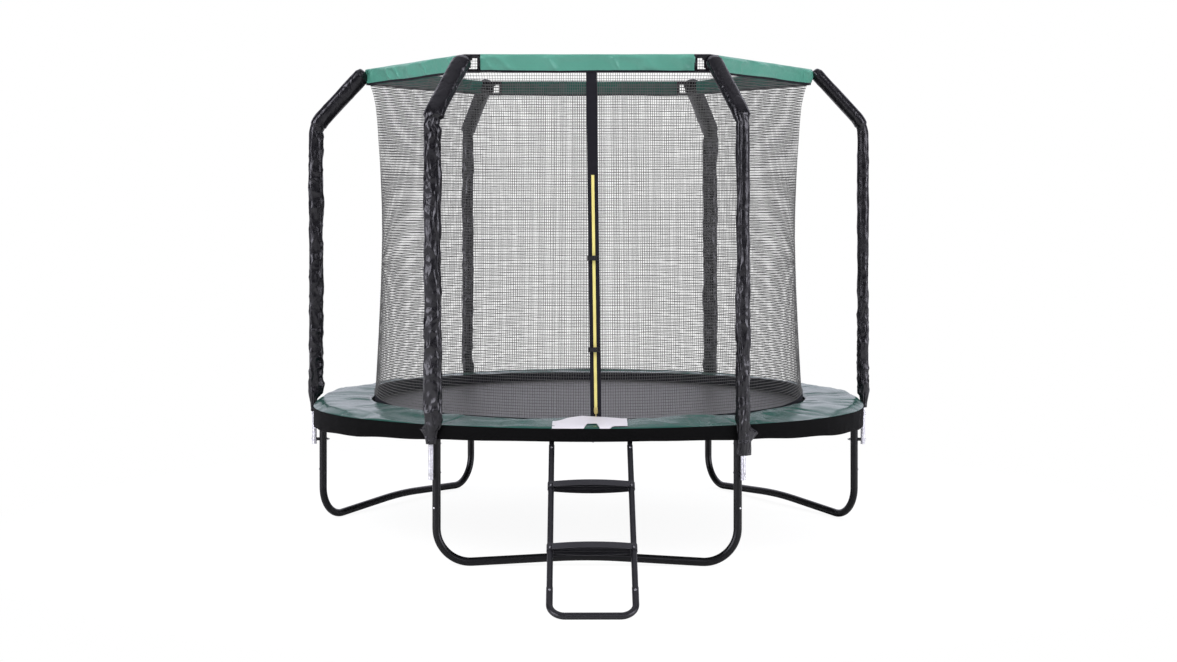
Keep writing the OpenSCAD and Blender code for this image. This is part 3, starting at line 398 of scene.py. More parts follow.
def net():
    """Net of upright and level strands; at the sides it is regular, with thin upright strands."""
    cols, rows = 600, 123
    rng = np.random.default_rng(11)
    az = np.arange(cols) * 360 / cols + 0.3
    az = az + rng.uniform(-0.07, 0.07, cols) * np.cos(az * D) ** 2
    zz = np.linspace(NET_FOOT, NET_TOP, rows)
    zz[1:-1] += rng.uniform(-0.0007, 0.0007, rows - 2)
    a, z = np.meshgrid(az, zz, indexing="ij")
    foot = foot_top(a) + 0.0003
    z = foot + (z - NET_FOOT) * (NET_TOP - foot) / (NET_TOP - NET_FOOT)
    facing = np.cos(a * D) ** 2
    a = a + 0.02 * fbm(a * 3, z * 5, 0 * z, 3, 1) * facing
    ripple = 0.0016 * fbm(a / 3.0, z * 22, 0 * z + 7, 5, 2)
    z = z + ripple * smooth(z, 0.78, 0.88) * (1 - smooth(z, 2.40, 2.46))
    r = net_r(a, z)
    p = polar(r, a, z)
    out = polar(1 + 0 * r, a, 0 * z)
    side = np.stack([np.cos(a * D), np.sin(a * D), 0 * a], -1)
    up = np.zeros_like(out)
    up[..., 2] = 1
    upright, level = STRAND * (0.46 + 0.54 * facing), STRAND * (2.0 - facing)
    co, quads = [], []
    for u, v, w in ((out, side, upright), (out, up, level)):
        ring = [p + w[..., None] * (math.cos(t) * u + math.sin(t) * v) for t in (0, 2 * PI / 3, 4 * PI / 3)]
        co.append(np.stack(ring, 2))
    n = cols * rows
    idx = np.arange(n).reshape(cols, rows)
    for k, (i, j) in enumerate(((idx[:, :-1], idx[:, 1:]), (idx, np.roll(idx, -1, 0)))):
        for s in range(3):
            t = (s + 1) % 3
            q = np.stack([i * 3 + s, j * 3 + s, j * 3 + t, i * 3 + t], -1)
            quads.append(q.reshape(-1, 4) + k * n * 3)
    points = np.concatenate([c.reshape(-1, 3) for c in co])
    obj = make("net_mesh_sheet", points, np.concatenate(quads), False)
    paint(obj, "net_mesh")
    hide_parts("net")
    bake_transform(obj)


def foot_band():
    """Black band between the mat and the net's foot, in two faces."""
    n, m = 480, 9
    az = np.arange(n) * 360 / n
    prof = np.linspace(0, 1, m)
    a, v = np.meshgrid(az, prof, indexing="ij")
    z = FOOT_LOW + (foot_top(a) - FOOT_LOW) * v
    wave = 0.0018 * fbm(a / 3.5, v * 1.5, 0 * a, 21, 2)
    r = 1.2048 + wave * smooth(v, 0, 0.4)
    outer = polar(r + 0.0010, a, z)
    inner = polar(r - 0.0010, a, z)[:, ::-1]
    co = np.concatenate([outer, inner], 1)
    uv = np.stack([np.repeat((az * D * 1.205)[:, None], 2 * m, 1), np.concatenate([z, z[:, ::-1]], 1)], -1)
    obj = make("net_foot_cloth", co, grid_quads(n, 2 * m, True, True), True, uv)
    paint(obj, "webbing")
    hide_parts("net_foot_band")
    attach(obj, "mat")


# ------------------------------------------------------------------ pad and skirt
# heights by azimuth: the pad's rim, the skirt's hem and the pad's inner edge
RIM = [(0, 0.7172), (24, 0.7140), (36, 0.7080), (46, 0.7020), (56, 0.6950), (70, 0.6850), (80, 0.6790),
       (90, 0.6770)]
HEM = [(0, 0.6530), (12, 0.6500), (24, 0.6420), (36, 0.6280), (46, 0.6130), (56, 0.5960), (68, 0.5820),
       (80, 0.5720), (90, 0.5700)]
INNER = [(-180, 0.7085), (-165, 0.7085), (-150, 0.7150), (-135, 0.7060), (-90, 0.7050), (-75, 0.7130),
         (-55, 0.7280), (-45, 0.7260), (-37, 0.7140), (-30, 0.7170), (-20, 0.7205), (-15, 0.7175),
         (-8, 0.7275), (-1, 0.7340), (4, 0.7280), (8, 0.7200), (14, 0.7130), (20, 0.7290), (25, 0.7340),
         (30, 0.7280), (37, 0.7090), (50, 0.7210), (75, 0.7130), (90, 0.7050), (135, 0.7060),
         (150, 0.7150), (165, 0.7085), (180, 0.7085)]
PAD_IN_R, PAD_WIDTH, PAD_MID_R = 1.2165, 0.3190, 1.37
RIM_Z = 0.7020  # the pad's rim before it rises or falls with RIM
UNDER_Z = 0.6886  # underside of the pad, on the frame
SKIRT_R = 1.5368


def fold_az(a):
    """Azimuth folded into 0 to 90 degrees: front and back alike, left and right alike."""
    a = np.abs((np.asarray(a, float) + 180) % 360 - 180)
    return np.where(a > 90, 180 - a, a)


def near_post(a, width):
    """1 at a pole, 0 beyond width degrees from it."""
    a = np.asarray(a, float)
    d = np.abs((a - 30) - 60 * np.round((a - 30) / 60))
    return 1 - smooth(d, width * 0.4, width)


def rim_z(a):
    return lookup(fold_az(a), RIM)


def inner_z(a):
    """Height of the pad's inner edge, which rides up unevenly against the net."""
    return lookup((np.asarray(a, float) + 180) % 360 - 180, INNER)


def pad_top(u, a):
    """Height of the pad's top at share u of its width and azimuth a."""
    t = np.clip(u / 0.9, 0, 1)
    z = inner_z(a) * (1 - t) + RIM_Z * t + 0.0100 * np.sin(PI * np.clip(u, 0, 1)) ** 0.7
    s = a * PAD_MID_R * D
    warp = 0.05 * fbm(s * 3, u * 2, 0 * s, 31, 2)
    side = np.sin(np.asarray(a) * D) ** 2
    calm = 0.30 + 0.70 * smooth(np.abs((np.asarray(a) + 180) % 360 - 180), 8.5, 13)
    streak = fbm((s + warp) / 0.075, u * 0.7 + 0 * s, 0 * s, 33, 1)
    long = fbm((s + 2 * warp) / 0.21, u * 1.0, 0 * s, 35, 1)
    pucker = ridge((s + 0.5 * warp) / 0.11, u * 0.9, 0 * s, 37) ** 4
    along = fbm((s + 0.3 * u) / 0.34, u * 3.6, 0 * s, 38, 1)
    crease = ridge((s - 0.2 * u) / 0.42, u * 2.4, 0 * s, 39) ** 3
    edge = smooth(u, 0.0, 0.10) * (1 - 0.5 * smooth(u, 0.90, 1.0))
    across = (0.35 + 0.65 * side) * (0.0062 * streak - 0.0072 * (pucker - 0.15))
    round_rim = (1 - 0.7 * side) * (0.0135 * along + 0.0066 * (crease - 0.3))
    z = z + calm * edge * (across + 0.0060 * long + round_rim)
    seam = np.abs((a - 30) - 60 * np.round((a - 30) / 60)) * PAD_MID_R * D
    z = z - 0.006 * np.exp(-(seam / 0.006) ** 2) * edge
    drop = rim_z(a) - RIM_Z
    near = smooth(np.cos(np.asarray(a) * D), 0.55, 0.85)
    z = z + drop * (smooth(u, 0.86, 1.0) ** 1.2 * (1 - near) + smooth(u, 0.1, 1.0) * near)
    return np.maximum(z, np.where(u < 0.93, 0.6940, 0.6700))


def pad_radius(u, a):
    """Radius at share u of the pad's width; its rim bulges at the sides, but not at a pole."""
    r = PAD_IN_R + u * PAD_WIDTH
    out = 0.0085 * smooth(fold_az(a), 40, 85) * (1 - near_post(a, 3.2))
    return r + out * smooth(u, 0.80, 1.0)


def pad():
    """Cover of the pad: the top with its rolled edges, and the underside."""
    n = 1440
    az = np.arange(n) * 360 / n
    u = np.concatenate([[0.0, 0.004, 0.014, 0.03], np.linspace(0.055, 0.945, 36), [0.965, 0.985, 0.995, 1.0]])
    a, uu = np.meshgrid(az, u, indexing="ij")
    z = pad_top(uu, a)
    z[:, 0] = z[:, 1] - 0.009
    z[:, 1] -= 0.004
    z[:, 2] -= 0.001
    z[:, -1] = np.maximum(z[:, -1] - 0.008, 0.6640)
    z[:, -2] = z[:, -2] - 0.0035
    z[:, -3] = z[:, -3] - 0.0010
    top = polar(pad_radius(uu, a), a, z)
    under_u = np.array([0.975, 0.93, 0.5, 0.02])
    b, vu = np.meshgrid(az, under_u, indexing="ij")
    low = np.minimum(UNDER_Z, pad_top(vu, b) - 0.008)
    low[:, 0] = np.minimum(low[:, 0], z[:, -1] + 0.002)
    low = np.maximum(low, np.where(vu < 0.95, UNDER_Z, 0.66))
    plain = PAD_IN_R + vu * PAD_WIDTH
    bottom = polar(plain + np.where(vu > 0.97, 0.5 * (pad_radius(vu, b) - plain), 0), b, low)
    co = np.concatenate([top, bottom], 1)
    m = co.shape[1]
    v = np.concatenate([uu, vu], 1) * 0.32
    uv = np.stack([np.repeat((az * D * PAD_MID_R)[:, None], m, 1), v], -1)
    obj = make("safety_pad_cover", co, grid_quads(n, m, True, True), True, uv)
    paint(obj, "pad_vinyl")
    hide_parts("safety_pad")
    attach(obj, "frame")


def patch():
    """Bare white panel on the pad before the door, with a green notch at its outer edge."""
    n, m = 110, 48
    x, u = np.meshgrid(np.linspace(-0.170, 0.199, n), np.linspace(0, 1, m), indexing="ij")
    start = 0.035 + 0.52 * smooth(-x, 0.0, 0.18)
    notch = 0.20 * smooth(x, -0.015, 0.005) * (1 - smooth(x, 0.045, 0.065))
    outer = 0.9985 - notch - 0.06 * smooth(x, 0.11, 0.14)
    u = start + (outer - start) * u
    a = np.arcsin(x / pad_radius(u, 0 * x)) / D
    z = pad_top(u, a) - 0.0035 * smooth(u, 0.97, 0.995) - 0.0035 * smooth(u, 0.992, 1.0)
    top = polar(pad_radius(u, a) + 0.0010, a, z + 0.0048)
    low = polar(pad_radius(u, a), a, z + 0.0026)
    co, quads = join([(top, grid_quads(n, m)), (low, grid_quads(n, m)[:, ::-1])])
    uv = np.concatenate([np.stack([x, u * 0.32], -1).reshape(-1, 2)] * 2)
    obj = make("pad_panel_cloth", co, quads, True, uv)
    paint(obj, "patch_vinyl")
    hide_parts("pad_patch")
    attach(obj, "frame")


def hem_z(a):
    """Height of the skirt's hem, lifted where a side pole passes."""
    base = lookup(fold_az(a), HEM) + 0.0022 * np.sin(np.asarray(a) * D * 23) * smooth(fold_az(a), 10, 40)
    side = near_post(a, 2.6) * (fold_az(a) > 60)
    return base + side * np.maximum(0, 0.6225 - base)


def skirt():
    """Black skirt that hangs from the pad's rim, in two faces."""
    n, m = 960, 14
    az = np.arange(n) * 360 / n
    a, v = np.meshgrid(az, np.linspace(0, 1, m), indexing="ij")
    post = near_post(a, 3.0)
    top = rim_z(a) - 0.0020
    z = top + (hem_z(a) - top) * v
    out = 0.0075 * smooth(fold_az(a), 40, 85) * (1 - post) * (1 - 0.35 * v)
    wave = 0.0030 * fbm(a / 2.4, v * 1.2, 0 * a, 41, 2) + 0.0022 * fbm(a / 7.0, v, 0 * a, 45, 1)
    r = SKIRT_R + out + np.maximum(-0.0006, wave * (0.35 + 0.65 * v)) * (1 - post)
    r = np.minimum(r, np.where(post > 0.2, 1.5378, 9))
    outer = polar(r + 0.0009, a, z)
    inner = polar(r - 0.0003, a, z)[:, ::-1]
    co = np.concatenate([outer, inner], 1)
    uv = np.stack([np.repeat((az * D * 1.537)[:, None], 2 * m, 1), np.concatenate([z, z[:, ::-1]], 1)], -1)
    obj = make("pad_skirt_cloth", co, grid_quads(n, 2 * m, True, True), True, uv)
    paint(obj, "skirt_fabric")
    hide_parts("pad_skirt")
    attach(obj, "frame")


# ------------------------------------------------------------------ sleeves
BEND_Z, LEAN, BEND_R, POLE_R, TOP_R = 2.243, 42.5 * D, 0.150, 1.553, 1.290
BEND_LEN = BEND_R * math.tan(LEAN / 2)
LEAN_LEN = (POLE_R - TOP_R) / math.sin(LEAN)


def pole_path(low, step=0.006, past=0.0):
    """Stations on a pole's axis: radius, height and the tangent's angle from the vertical."""
    z0 = BEND_Z - BEND_LEN
    rows = [(POLE_R, z, 0.0) for z in np.linspace(low, z0, int((z0 - low) / step) + 1)]
    k = max(6, int(BEND_R * LEAN / step))
    for t in np.linspace(0, LEAN, k + 1)[1:]:
        rows.append((POLE_R - BEND_R * (1 - math.cos(t)), z0 + BEND_R * math.sin(t), t))
    length = LEAN_LEN - BEND_LEN + past
    r1, z1 = rows[-1][0], rows[-1][1]
    for s in np.linspace(0, length, int(length / step) + 1)[1:]:
        rows.append((r1 - s * math.sin(LEAN), z1 + s * math.cos(LEAN), LEAN))
    return np.array(rows)


# pole: hem height, half widths in mm at the foam (two sides, out, in) and at the hem (two sides, out)
SLEEVES = {
    1: (0.618, (30, 35, 34, 33), (20, 22, 20)),
    2: (0.621, (35, 36, 31, 50), (21, 19, 18)),
    3: (0.615, (56, 31, 36, 33), (34, 26, 24)),
    4: (0.560, (31, 36, 34, 32), (46, 30, 26)),
    5: (0.644, (33, 35, 32.5, 31.5), (20, 22, 20)),
    6: (0.618, (56, 32, 34, 33), (26, 22, 20)),
}


FOAM_R = 0.0293
FOAM_FOOT = 0.7215
SLEEVE_R = 0.036  # radius at which the folds are laid out
SIDE_POLES = (2, 5)


def pad_pass(k):
    """Height at which sleeve k clears the pad."""
    return 0.702 if k in SIDE_POLES else 0.715


def sleeve_widths(k, s, z, bend_s, up):
    """Half widths of sleeve k along its length: towards both sides, outwards and inwards."""
    (tp, tm, ro, ri), (hp, hm, ho) = SLEEVES[k][1:]
    full = smooth(z, 0.63, 0.735) if k in SIDE_POLES else smooth(z, 0.660, 0.708)
    top_c = smooth(s, s[-1] - 0.02, s[-1])
    wob = 1 + 0.10 * fbm(s * 7, 0 * s, 0 * s, 50 + k, 2)
    plus = (hp + (tp - hp) * full) * wob
    minus = (hm + (tm - hm) * full) * (2 - wob)
    outw = (ho + (ro - ho) * full)
    inw = 14.6 + (ri - 14.6) * smooth(z, pad_pass(k), pad_pass(k) + 0.022)
    lift = 1 + 0.16 * up
    if k == 4:
        plus = plus + 46 * np.exp(-((z - 0.668) / 0.022) ** 2)
    if k == 3:
        minus = minus + 40 * np.exp(-((z - 0.684) / 0.010) ** 2)
    notch = 1 - 0.12 * np.exp(-((s - bend_s + 0.022) / 0.014) ** 2)
    flap = 1 - 0.42 * np.exp(-((s - bend_s + 0.024) / 0.030) ** 2) if k == 3 else notch
    plus, minus = (v * (1 - up) * w + np.maximum(v, 40) * up for v, w in ((plus, flap), (minus, notch)))
    inw = inw * np.where(up < 0.5, notch, 1)
    return [v * lift * (1 - 0.22 * top_c) / 1000 for v in (plus, minus, outw, inw)]


def sleeve_folds(k, s, z, th, up):
    """Height of the folds of sleeve k, with a lap down its length and gathers under the pad's top."""
    zz, tt = np.meshgrid(s, th, indexing="ij")
    ex, ey = SLEEVE_R * np.cos(tt), SLEEVE_R * np.sin(tt)
    seed = 60 + 9 * k
    wx = 0.5 * fbm(ex * 22, ey * 22, zz * 10, seed, 2)
    slant = zz + 0.018 * np.sin(tt + 3 * np.sin(zz * 5 + k))
    big = ridge(ex * 26 + wx, ey * 26, slant * 10, seed + 1)
    mid = ridge(ex * 50 + wx, ey * 50 - wx, slant * 23, seed + 3)
    fine = fbm(ex * 80, ey * 80, slant * 45, seed + 5, 2)
    gather = 0.75 + 0.5 * vnoise(zz * 4, 0 * zz, 0 * zz, seed + 7) + 0.5 * np.exp(-((zz - 0.12) / 0.10) ** 2)
    lap_at = {3: 0.15, 4: 0.85}.get(k, 0.5) * PI + 0.35 * np.sin(zz * 4 + k)
    lap_at = lap_at + 0.25 * fbm(zz * 9, 0 * zz, 0 * zz, seed + 8, 1)
    lap = np.exp(-((np.angle(np.exp(1j * (tt - lap_at)))) / 0.16) ** 2)
    still = {4: 1 - 0.65 * smooth(zz, 0.75, 1.05), 5: 1 - 0.55 * smooth(zz, 0.55, 0.9)}.get(k, 1.0)
    slow = 0.0030 * fbm(ex * 10, ey * 10, zz * 4, seed + 9, 2)
    creases = 0.0066 * (big ** 1.7 - 0.42) + 0.0044 * (mid ** 1.8 - 0.42) + 0.0007 * fine
    d = slow + still * gather * creases - 0.0050 * lap
    d = d * (1 - 0.72 * up)[:, None]
    low = (1 - smooth(z, 0.700, 0.76))[:, None]
    gathers = 0.0016 * np.cos(13 * tt + 2 * np.sin(7 * zz)) * low
    return d * (1 - 0.3 * low) + gathers


def sleeve_outline(k, s, z, th):
    """Offsets of sleeve k's outer face from the pole's axis, along the rim and outwards."""
    bend_s = s[np.argmax(z > BEND_Z - 0.006)]
    up = smooth(s, bend_s - 0.004, bend_s + 0.004)
    plus, minus, outw, inw = sleeve_widths(k, s, z, bend_s, up)
    c, sn = np.cos(th), np.sin(th)
    x = np.where(c >= 0, plus[:, None], minus[:, None]) * c
    y = np.where(sn >= 0, outw[:, None], inw[:, None]) * sn
    d = sleeve_folds(k, s, z, th, up)
    nx, ny = c[None, :] / np.maximum(plus[:, None], 1e-3), sn[None, :] / np.maximum(outw[:, None], 1e-3)
    ln = np.hypot(nx, ny)
    x = x + d * nx / ln
    y = y + d * ny / ln
    tie = np.exp(-((z - (0.668 if k != 4 else 0.640)) / 0.010) ** 2)
    x, y = x * (1 - 0.16 * tie[:, None]), y * (1 - 0.04 * tie[:, None])
    need = np.where(over_foam(s, z), FOAM_R + 0.0006, 0.0132)
    grow = np.maximum(1, need / np.maximum(np.hypot(x, y), 1e-6))
    x, y = x * grow, y * grow
    return x, np.where((z < pad_pass(k))[:, None], np.maximum(y, -0.0146), y)


def over_foam(s, z):
    return ((z > FOAM_FOOT) & (s < s[-1] - 0.045))[:, None]


def inner_share(x, y, s, z):
    """Share of the outer face's offset at which the inner face lies, about a millimetre inside."""
    rr = np.hypot(x, y)
    least = np.where(over_foam(s, z), FOAM_R, 0.0128)
    return np.maximum(np.minimum(rr - 0.0004, least), rr - 0.0012) / np.maximum(rr, 1e-6)


def sleeve(k):
    """Sleeve of pole k: outer face, closed end and, with fewer rows, the inner face."""
    st = pole_path(SLEEVES[k][0], 0.0055, 0.014)
    rho, z, lean = st.T
    s = np.concatenate([[0], np.cumsum(np.hypot(np.diff(rho), np.diff(z)))])
    n = 72
    th = np.arange(n) * 2 * PI / n
    az = POSTS[k - 1]
    outward = np.array([math.sin(az * D), -math.cos(az * D), 0])
    along = np.array([math.cos(az * D), math.sin(az * D), 0])
    upward = np.array([0, 0, 1.0])
    axis = rho[:, None] * outward + z[:, None] * upward
    across = np.cos(lean)[:, None] * outward + np.sin(lean)[:, None] * upward
    x, y = sleeve_outline(k, s, z, th)
    outer = axis[:, None] + x[..., None] * along + y[..., None] * across[:, None]
    end = -math.sin(LEAN) * outward + math.cos(LEAN) * upward
    cap_rows = []
    for f, up_by in ((0.86, 0.006), (0.55, 0.010), (0.12, 0.0115)):
        tip = axis[-1] + up_by * end
        cap_rows.append(tip + f * (x[-1][:, None] * along + y[-1][:, None] * across[-1]))
    cap_in = [row - 0.0012 * end for row in cap_rows[::-1]]
    pick = np.unique(np.concatenate([np.arange(0, len(st), 6), [len(st) - 1]]))[::-1]
    thin = inner_share(x, y, s, z)
    xi, yi = x * thin, y * thin
    inner = axis[pick, None] + xi[pick][..., None] * along + yi[pick][..., None] * across[pick, None]
    co = np.concatenate([outer, np.stack(cap_rows), np.stack(cap_in), inner], 0)
    ends = s[-1] + np.array([0.01, 0.02, 0.03])
    uu = np.broadcast_to((th * SLEEVE_R)[None, :], co.shape[:2])
    vv = np.broadcast_to(np.concatenate([s, ends, ends[::-1], s[pick]])[:, None], co.shape[:2])
    obj = make(f"pole_sleeve_cloth_{k}", co, grid_quads(len(co), n, True, True), True, np.stack([uu, vv], -1))
    paint(obj, "sleeve_vinyl")
    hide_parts(f"pole_sleeve_{k}")
    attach(obj, "frame")


# ------------------------------------------------------------------ top band and corners
TOP, LOW, HEM_H, GAP, SIDE_GAP = 2.565, 2.468, 0.012, 0.078, 0.018
HALF_SIDE = 1.256 / 2  # half the length of one side of the hexagon
BAND_SEED = 70


def corner_gap(i, end):
    """Length of the black corner piece at one end of side i; the left and right corners have a short one."""
    return SIDE_GAP if (60 * i + 30 * end) % 180 == 90 else GAP


def band_profile(outwards=0.0):
    """Loop round the band's section: offset across the band and height, from the outer hem up."""
    hem = [LOW, LOW + 0.006, LOW + HEM_H - 0.0006, LOW + HEM_H]
    zs = np.concatenate([hem, np.linspace(LOW + 0.018, TOP - 0.011, 14)])
    w = 0.0019 + 0.0056 * smooth(zs, LOW + 0.03, TOP - 0.008)
    outer = [(w_ + outwards, z_) for w_, z_ in zip(w, zs)]
    crown = []
    for x in np.linspace(0.1, PI - 0.1, 9):
        crown.append(((0.0078 + outwards) * math.cos(x), TOP - 0.008 + 0.0078 * math.sin(x)))
    inner = [(-w_ - 0.3 * outwards, z_) for w_, z_ in zip(w[::-1], zs[::-1])]
    return np.array(outer + crown + inner)


def band_span(y):
    """Heights of the band's lower and upper edges, which sink a little towards the back."""
    w = (np.asarray(y) / 1.088 + 1) / 2
    return 2.4765 - 0.0195 * w, 2.5705 - 0.0260 * w


def band_piece(i, s0, s1, seed, outwards=0.0, amp=1.0):
    """Grid of one length of band on side i, between distances s0 and s1 from the side's middle."""
    prof = band_profile(outwards)
    n = max(3, int((s1 - s0) / 0.008) + 1)
    s = np.linspace(s0, s1, n)
    ss, k = np.meshgrid(s, np.arange(len(prof)), indexing="ij")
    off, z = prof[k, 0], prof[k, 1]
    free = smooth(z, LOW + 0.004, LOW + 0.03) * (1 - smooth(z, TOP - 0.02, TOP - 0.002))
    sag = fbm(ss * 5 + 31 * i, z * 6, 0 * ss, seed, 2)
    folds = ridge((ss + 0.6 * (z - LOW)) * 9 + 17 * i, z * 8, 0 * ss, seed + 3) ** 3
    end = smooth(np.abs(ss), 0.45, 0.60)
    pulls = 0.0120 * end * fbm(ss * 32, z * 4, 0 * ss + i, seed + 5, 2)
    w = amp * free * (0.0070 * sag + 0.0170 * (folds - 0.12) + pulls)
    off = off + np.where(off > 0, w, 0.6 * w)
    off = np.where(prof[k, 0] > 0, np.maximum(off, 0.0017), off)
    zz = z + amp * 0.0014 * np.sin(ss * 9 + i) * (z < LOW + 0.03)
    zz = zz + amp * 0.0012 * fbm(ss * 7, 0 * ss + i, 0 * ss, seed + 9, 2)
    y = -(BAND_MID + off)
    a = 60 * i * D
    low, top = band_span(ss * math.sin(a) - BAND_MID * math.cos(a))
    zz = low + (zz - LOW) * (top - low) / (TOP - LOW)
    co = np.stack([ss * math.cos(a) - y * math.sin(a), ss * math.sin(a) + y * math.cos(a), zz], -1)
    return co, ss, z, prof


def strap_loop():
    """Points of a flat loop that takes the strap's top up into the band's hem, ring by ring."""
    strap = NODES["door_strap"]
    ends = np.array([strap.matrix_world @ v.co for v in strap.data.vertices])
    ends = ends[ends[:, 2] > ends[:, 2].max() - 0.002]
    (x0, y0, _), (x1, y1, z1) = ends.min(0) - 0.0004, ends.max(0) + 0.0004
    heights = (z1 - 0.005, band_span(-BAND_MID)[0] + 0.002)
    return np.array([[(x0, y0, z), (x1, y0, z), (x1, y1, z), (x0, y1, z)] for z in heights])


def top_band():
    """Green band in six lengths, with a black hem and an inside darkened as painted shade."""
    parts, uvs, idx = [], [], []
    for i in range(6):
        s0, s1 = -HALF_SIDE + corner_gap(i, -1), HALF_SIDE - corner_gap(i, 1)
        co, ss, _, prof = band_piece(i, s0, s1, BAND_SEED)
        n, m = co.shape[:2]
        q = grid_quads(n, m, False, True)
        j = q[:, 0] % m
        jj = q[:, 3] % m
        hem = (prof[j, 1] < LOW + HEM_H - 1e-4) & (prof[jj, 1] < LOW + HEM_H + 1e-4)
        # index 2 marks the inside faces, which take the darker green of painted shade
        hem = np.where(hem, 1, np.where((prof[j, 0] < 0) & (prof[jj, 0] < 0), 2, 0))
        parts.append((co, q))
        girth = np.cumsum(np.abs(np.diff(prof[:, 1], prepend=LOW)))[None, :]
        uvs.append(np.stack([ss + 1.3 * i, girth + 0 * ss], -1).reshape(-1, 2))
        idx.append(hem)
    rows = strap_loop()
    parts.append((rows, grid_quads(2, 4, False, True)))
    uvs.append(rows[..., [0, 2]].reshape(-1, 2))
    idx.append(np.ones(4, int))
    co, quads = join(parts)
    obj = make("top_band_cloth", co, quads, True, np.concatenate(uvs), np.concatenate(idx))
    paint(obj, "band_fabric", "webbing", "band_inside_painted_shade")
    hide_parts("top_band")
    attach(obj, "frame")


def corner_gussets():
    """Black corner pieces with an open window on each side of the pole's end."""
    parts, uvs, idx = [], [], []
    for i in range(6):
        for s0, s1, flip in ((HALF_SIDE - corner_gap(i, 1) - 0.004, HALF_SIDE, 1),
                             (-HALF_SIDE, -HALF_SIDE + corner_gap(i, -1) + 0.004, -1)):
            co, ss, _, prof = band_piece(i, s0, s1, BAND_SEED, 0.0012, 0.35)
            n, m = co.shape[:2]
            off = prof[:, 0]
            mitre = np.broadcast_to(off[None, :], ss.shape) * math.tan(30 * D)
            a = 60 * i * D
            move = mitre * flip * smooth(np.abs(ss), HALF_SIDE - 0.02, HALF_SIDE)
            co = co + move[..., None] * np.array([math.cos(a), math.sin(a), 0])
            q = grid_quads(n, m, False, True)
            si = np.abs(ss[q[:, 0] // m, 0] + ss[np.minimum(q[:, 1] // m, n - 1), 0]) / 2
            zc = (prof[q[:, 0] % m, 1] + prof[q[:, 3] % m, 1]) / 2
            d = HALF_SIDE - si
            # the window narrows towards the pole
            window = (d > 0.028 + 0.20 * (zc - LOW - 0.02)) & (d < GAP - 0.012)
            window = window & (zc > LOW + 0.016) & (zc < TOP - 0.021)
            green = (corner_gap(i, flip) < GAP) & (zc > LOW + HEM_H)
            idx.append(np.where(green, 1, 0)[~window])
            q = q[~window]
            parts.append((co, q))
            uvs.append(np.stack([ss + 2.1 * i, 0 * ss + prof[:, 1][None, :]], -1).reshape(-1, 2))
    co, quads = join(parts)
    obj = make("corner_gussets", co, quads, True, np.concatenate(uvs), np.concatenate(idx))
    paint(obj, "sleeve_vinyl", "band_fabric")
    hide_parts("corner_pockets")
    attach(obj, "frame")


# ------------------------------------------------------------------ springs
SPRINGS = 60
SPRING_Z = 0.675
COIL_R, WIRE_R = 0.00925, 0.00172
COIL_IN, COIL_OUT = 1.3376, 1.4626
EYE_R, EYE_AT, EYE_DROP = 0.006, 1.3236, 0.00355


def spring_parts():
    """One spring at the front: its coil, the arm to the ring rail and the eye for the V-ring."""
    turns, per = 31, 10
    z0 = SPRING_Z
    t = np.linspace(0, turns, turns * per + 1)
    reach = -(COIL_IN + 0.002 + (COIL_OUT - COIL_IN - 0.004) * t / turns)
    body = np.stack([COIL_R * np.sin(2 * PI * t), reach, z0 + COIL_R * np.cos(2 * PI * t)], -1)
    arm_out = [[0, -(COIL_OUT - 0.002), z0 + COIL_R], [0, -(COIL_OUT + 0.003), z0 + 0.006],
               [0, -(COIL_OUT + 0.009), z0 + 0.001], [0, -(COIL_OUT + 0.016), z0],
               [0, -1.4885, z0], [0, -1.4905, z0 - 0.002], [0, -1.4912, z0 - 0.006], [0, -1.4912, z0 - 0.011]]
    arm_in = [[0, -(COIL_IN + 0.002), z0 + COIL_R], [0, -(COIL_IN - 0.003), z0 + 0.006],
              [0, -(COIL_IN - 0.006), z0 + 0.002], [0, -(EYE_AT + 0.0085), z0 + 0.0008]]
    eye = [[0, -(EYE_AT + EYE_R * math.cos(x)), z0 - EYE_DROP + EYE_R * math.sin(x)]
           for x in np.linspace(35, 330, 20) * D]
    return join([tube(body, WIRE_R, 5, (0, 1, 0)), tube(arm_out, 0.00165, 6, (1, 0, 0)),
                 tube(arm_in + eye, 0.00160, 6, (1, 0, 0))])


def springs():
    co, quads = spring_parts()
    for i in range(SPRINGS):
        az = (-180 + 6 * (i + 0.5)) * D
        c, s = math.cos(az), math.sin(az)
        p = np.stack([co[:, 0] * c - co[:, 1] * s, co[:, 0] * s + co[:, 1] * c, co[:, 2]], -1)
        obj = make(f"spring_{i + 1}", p, quads)
        paint(obj, "spring_steel")
        if i % 20 == 0:
            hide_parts(f"spring_set_{i // 20 + 1}")
        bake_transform(obj)


net()
foot_band()
pad()
patch()
skirt()
for k in range(1, 7):
    sleeve(k)
top_band()
corner_gussets()
springs()


# ------------------------------------------------------------------ floor, world and light
# Bright patches that only reflections see: direction, inner and outer half angle, brightness
SOFTBOXES = [((0, 1, 0.15), 18, 62, 0.95), ((-0.80, -0.55, 0.25), 12, 25, 6.2),
             ((0.88, -0.42, 0.20), 11, 24, 5.8), ((0.2, -1, 0.60), 8, 17, 2.2),
             ((0, 0.1, 1), 15, 55, 0.5)]


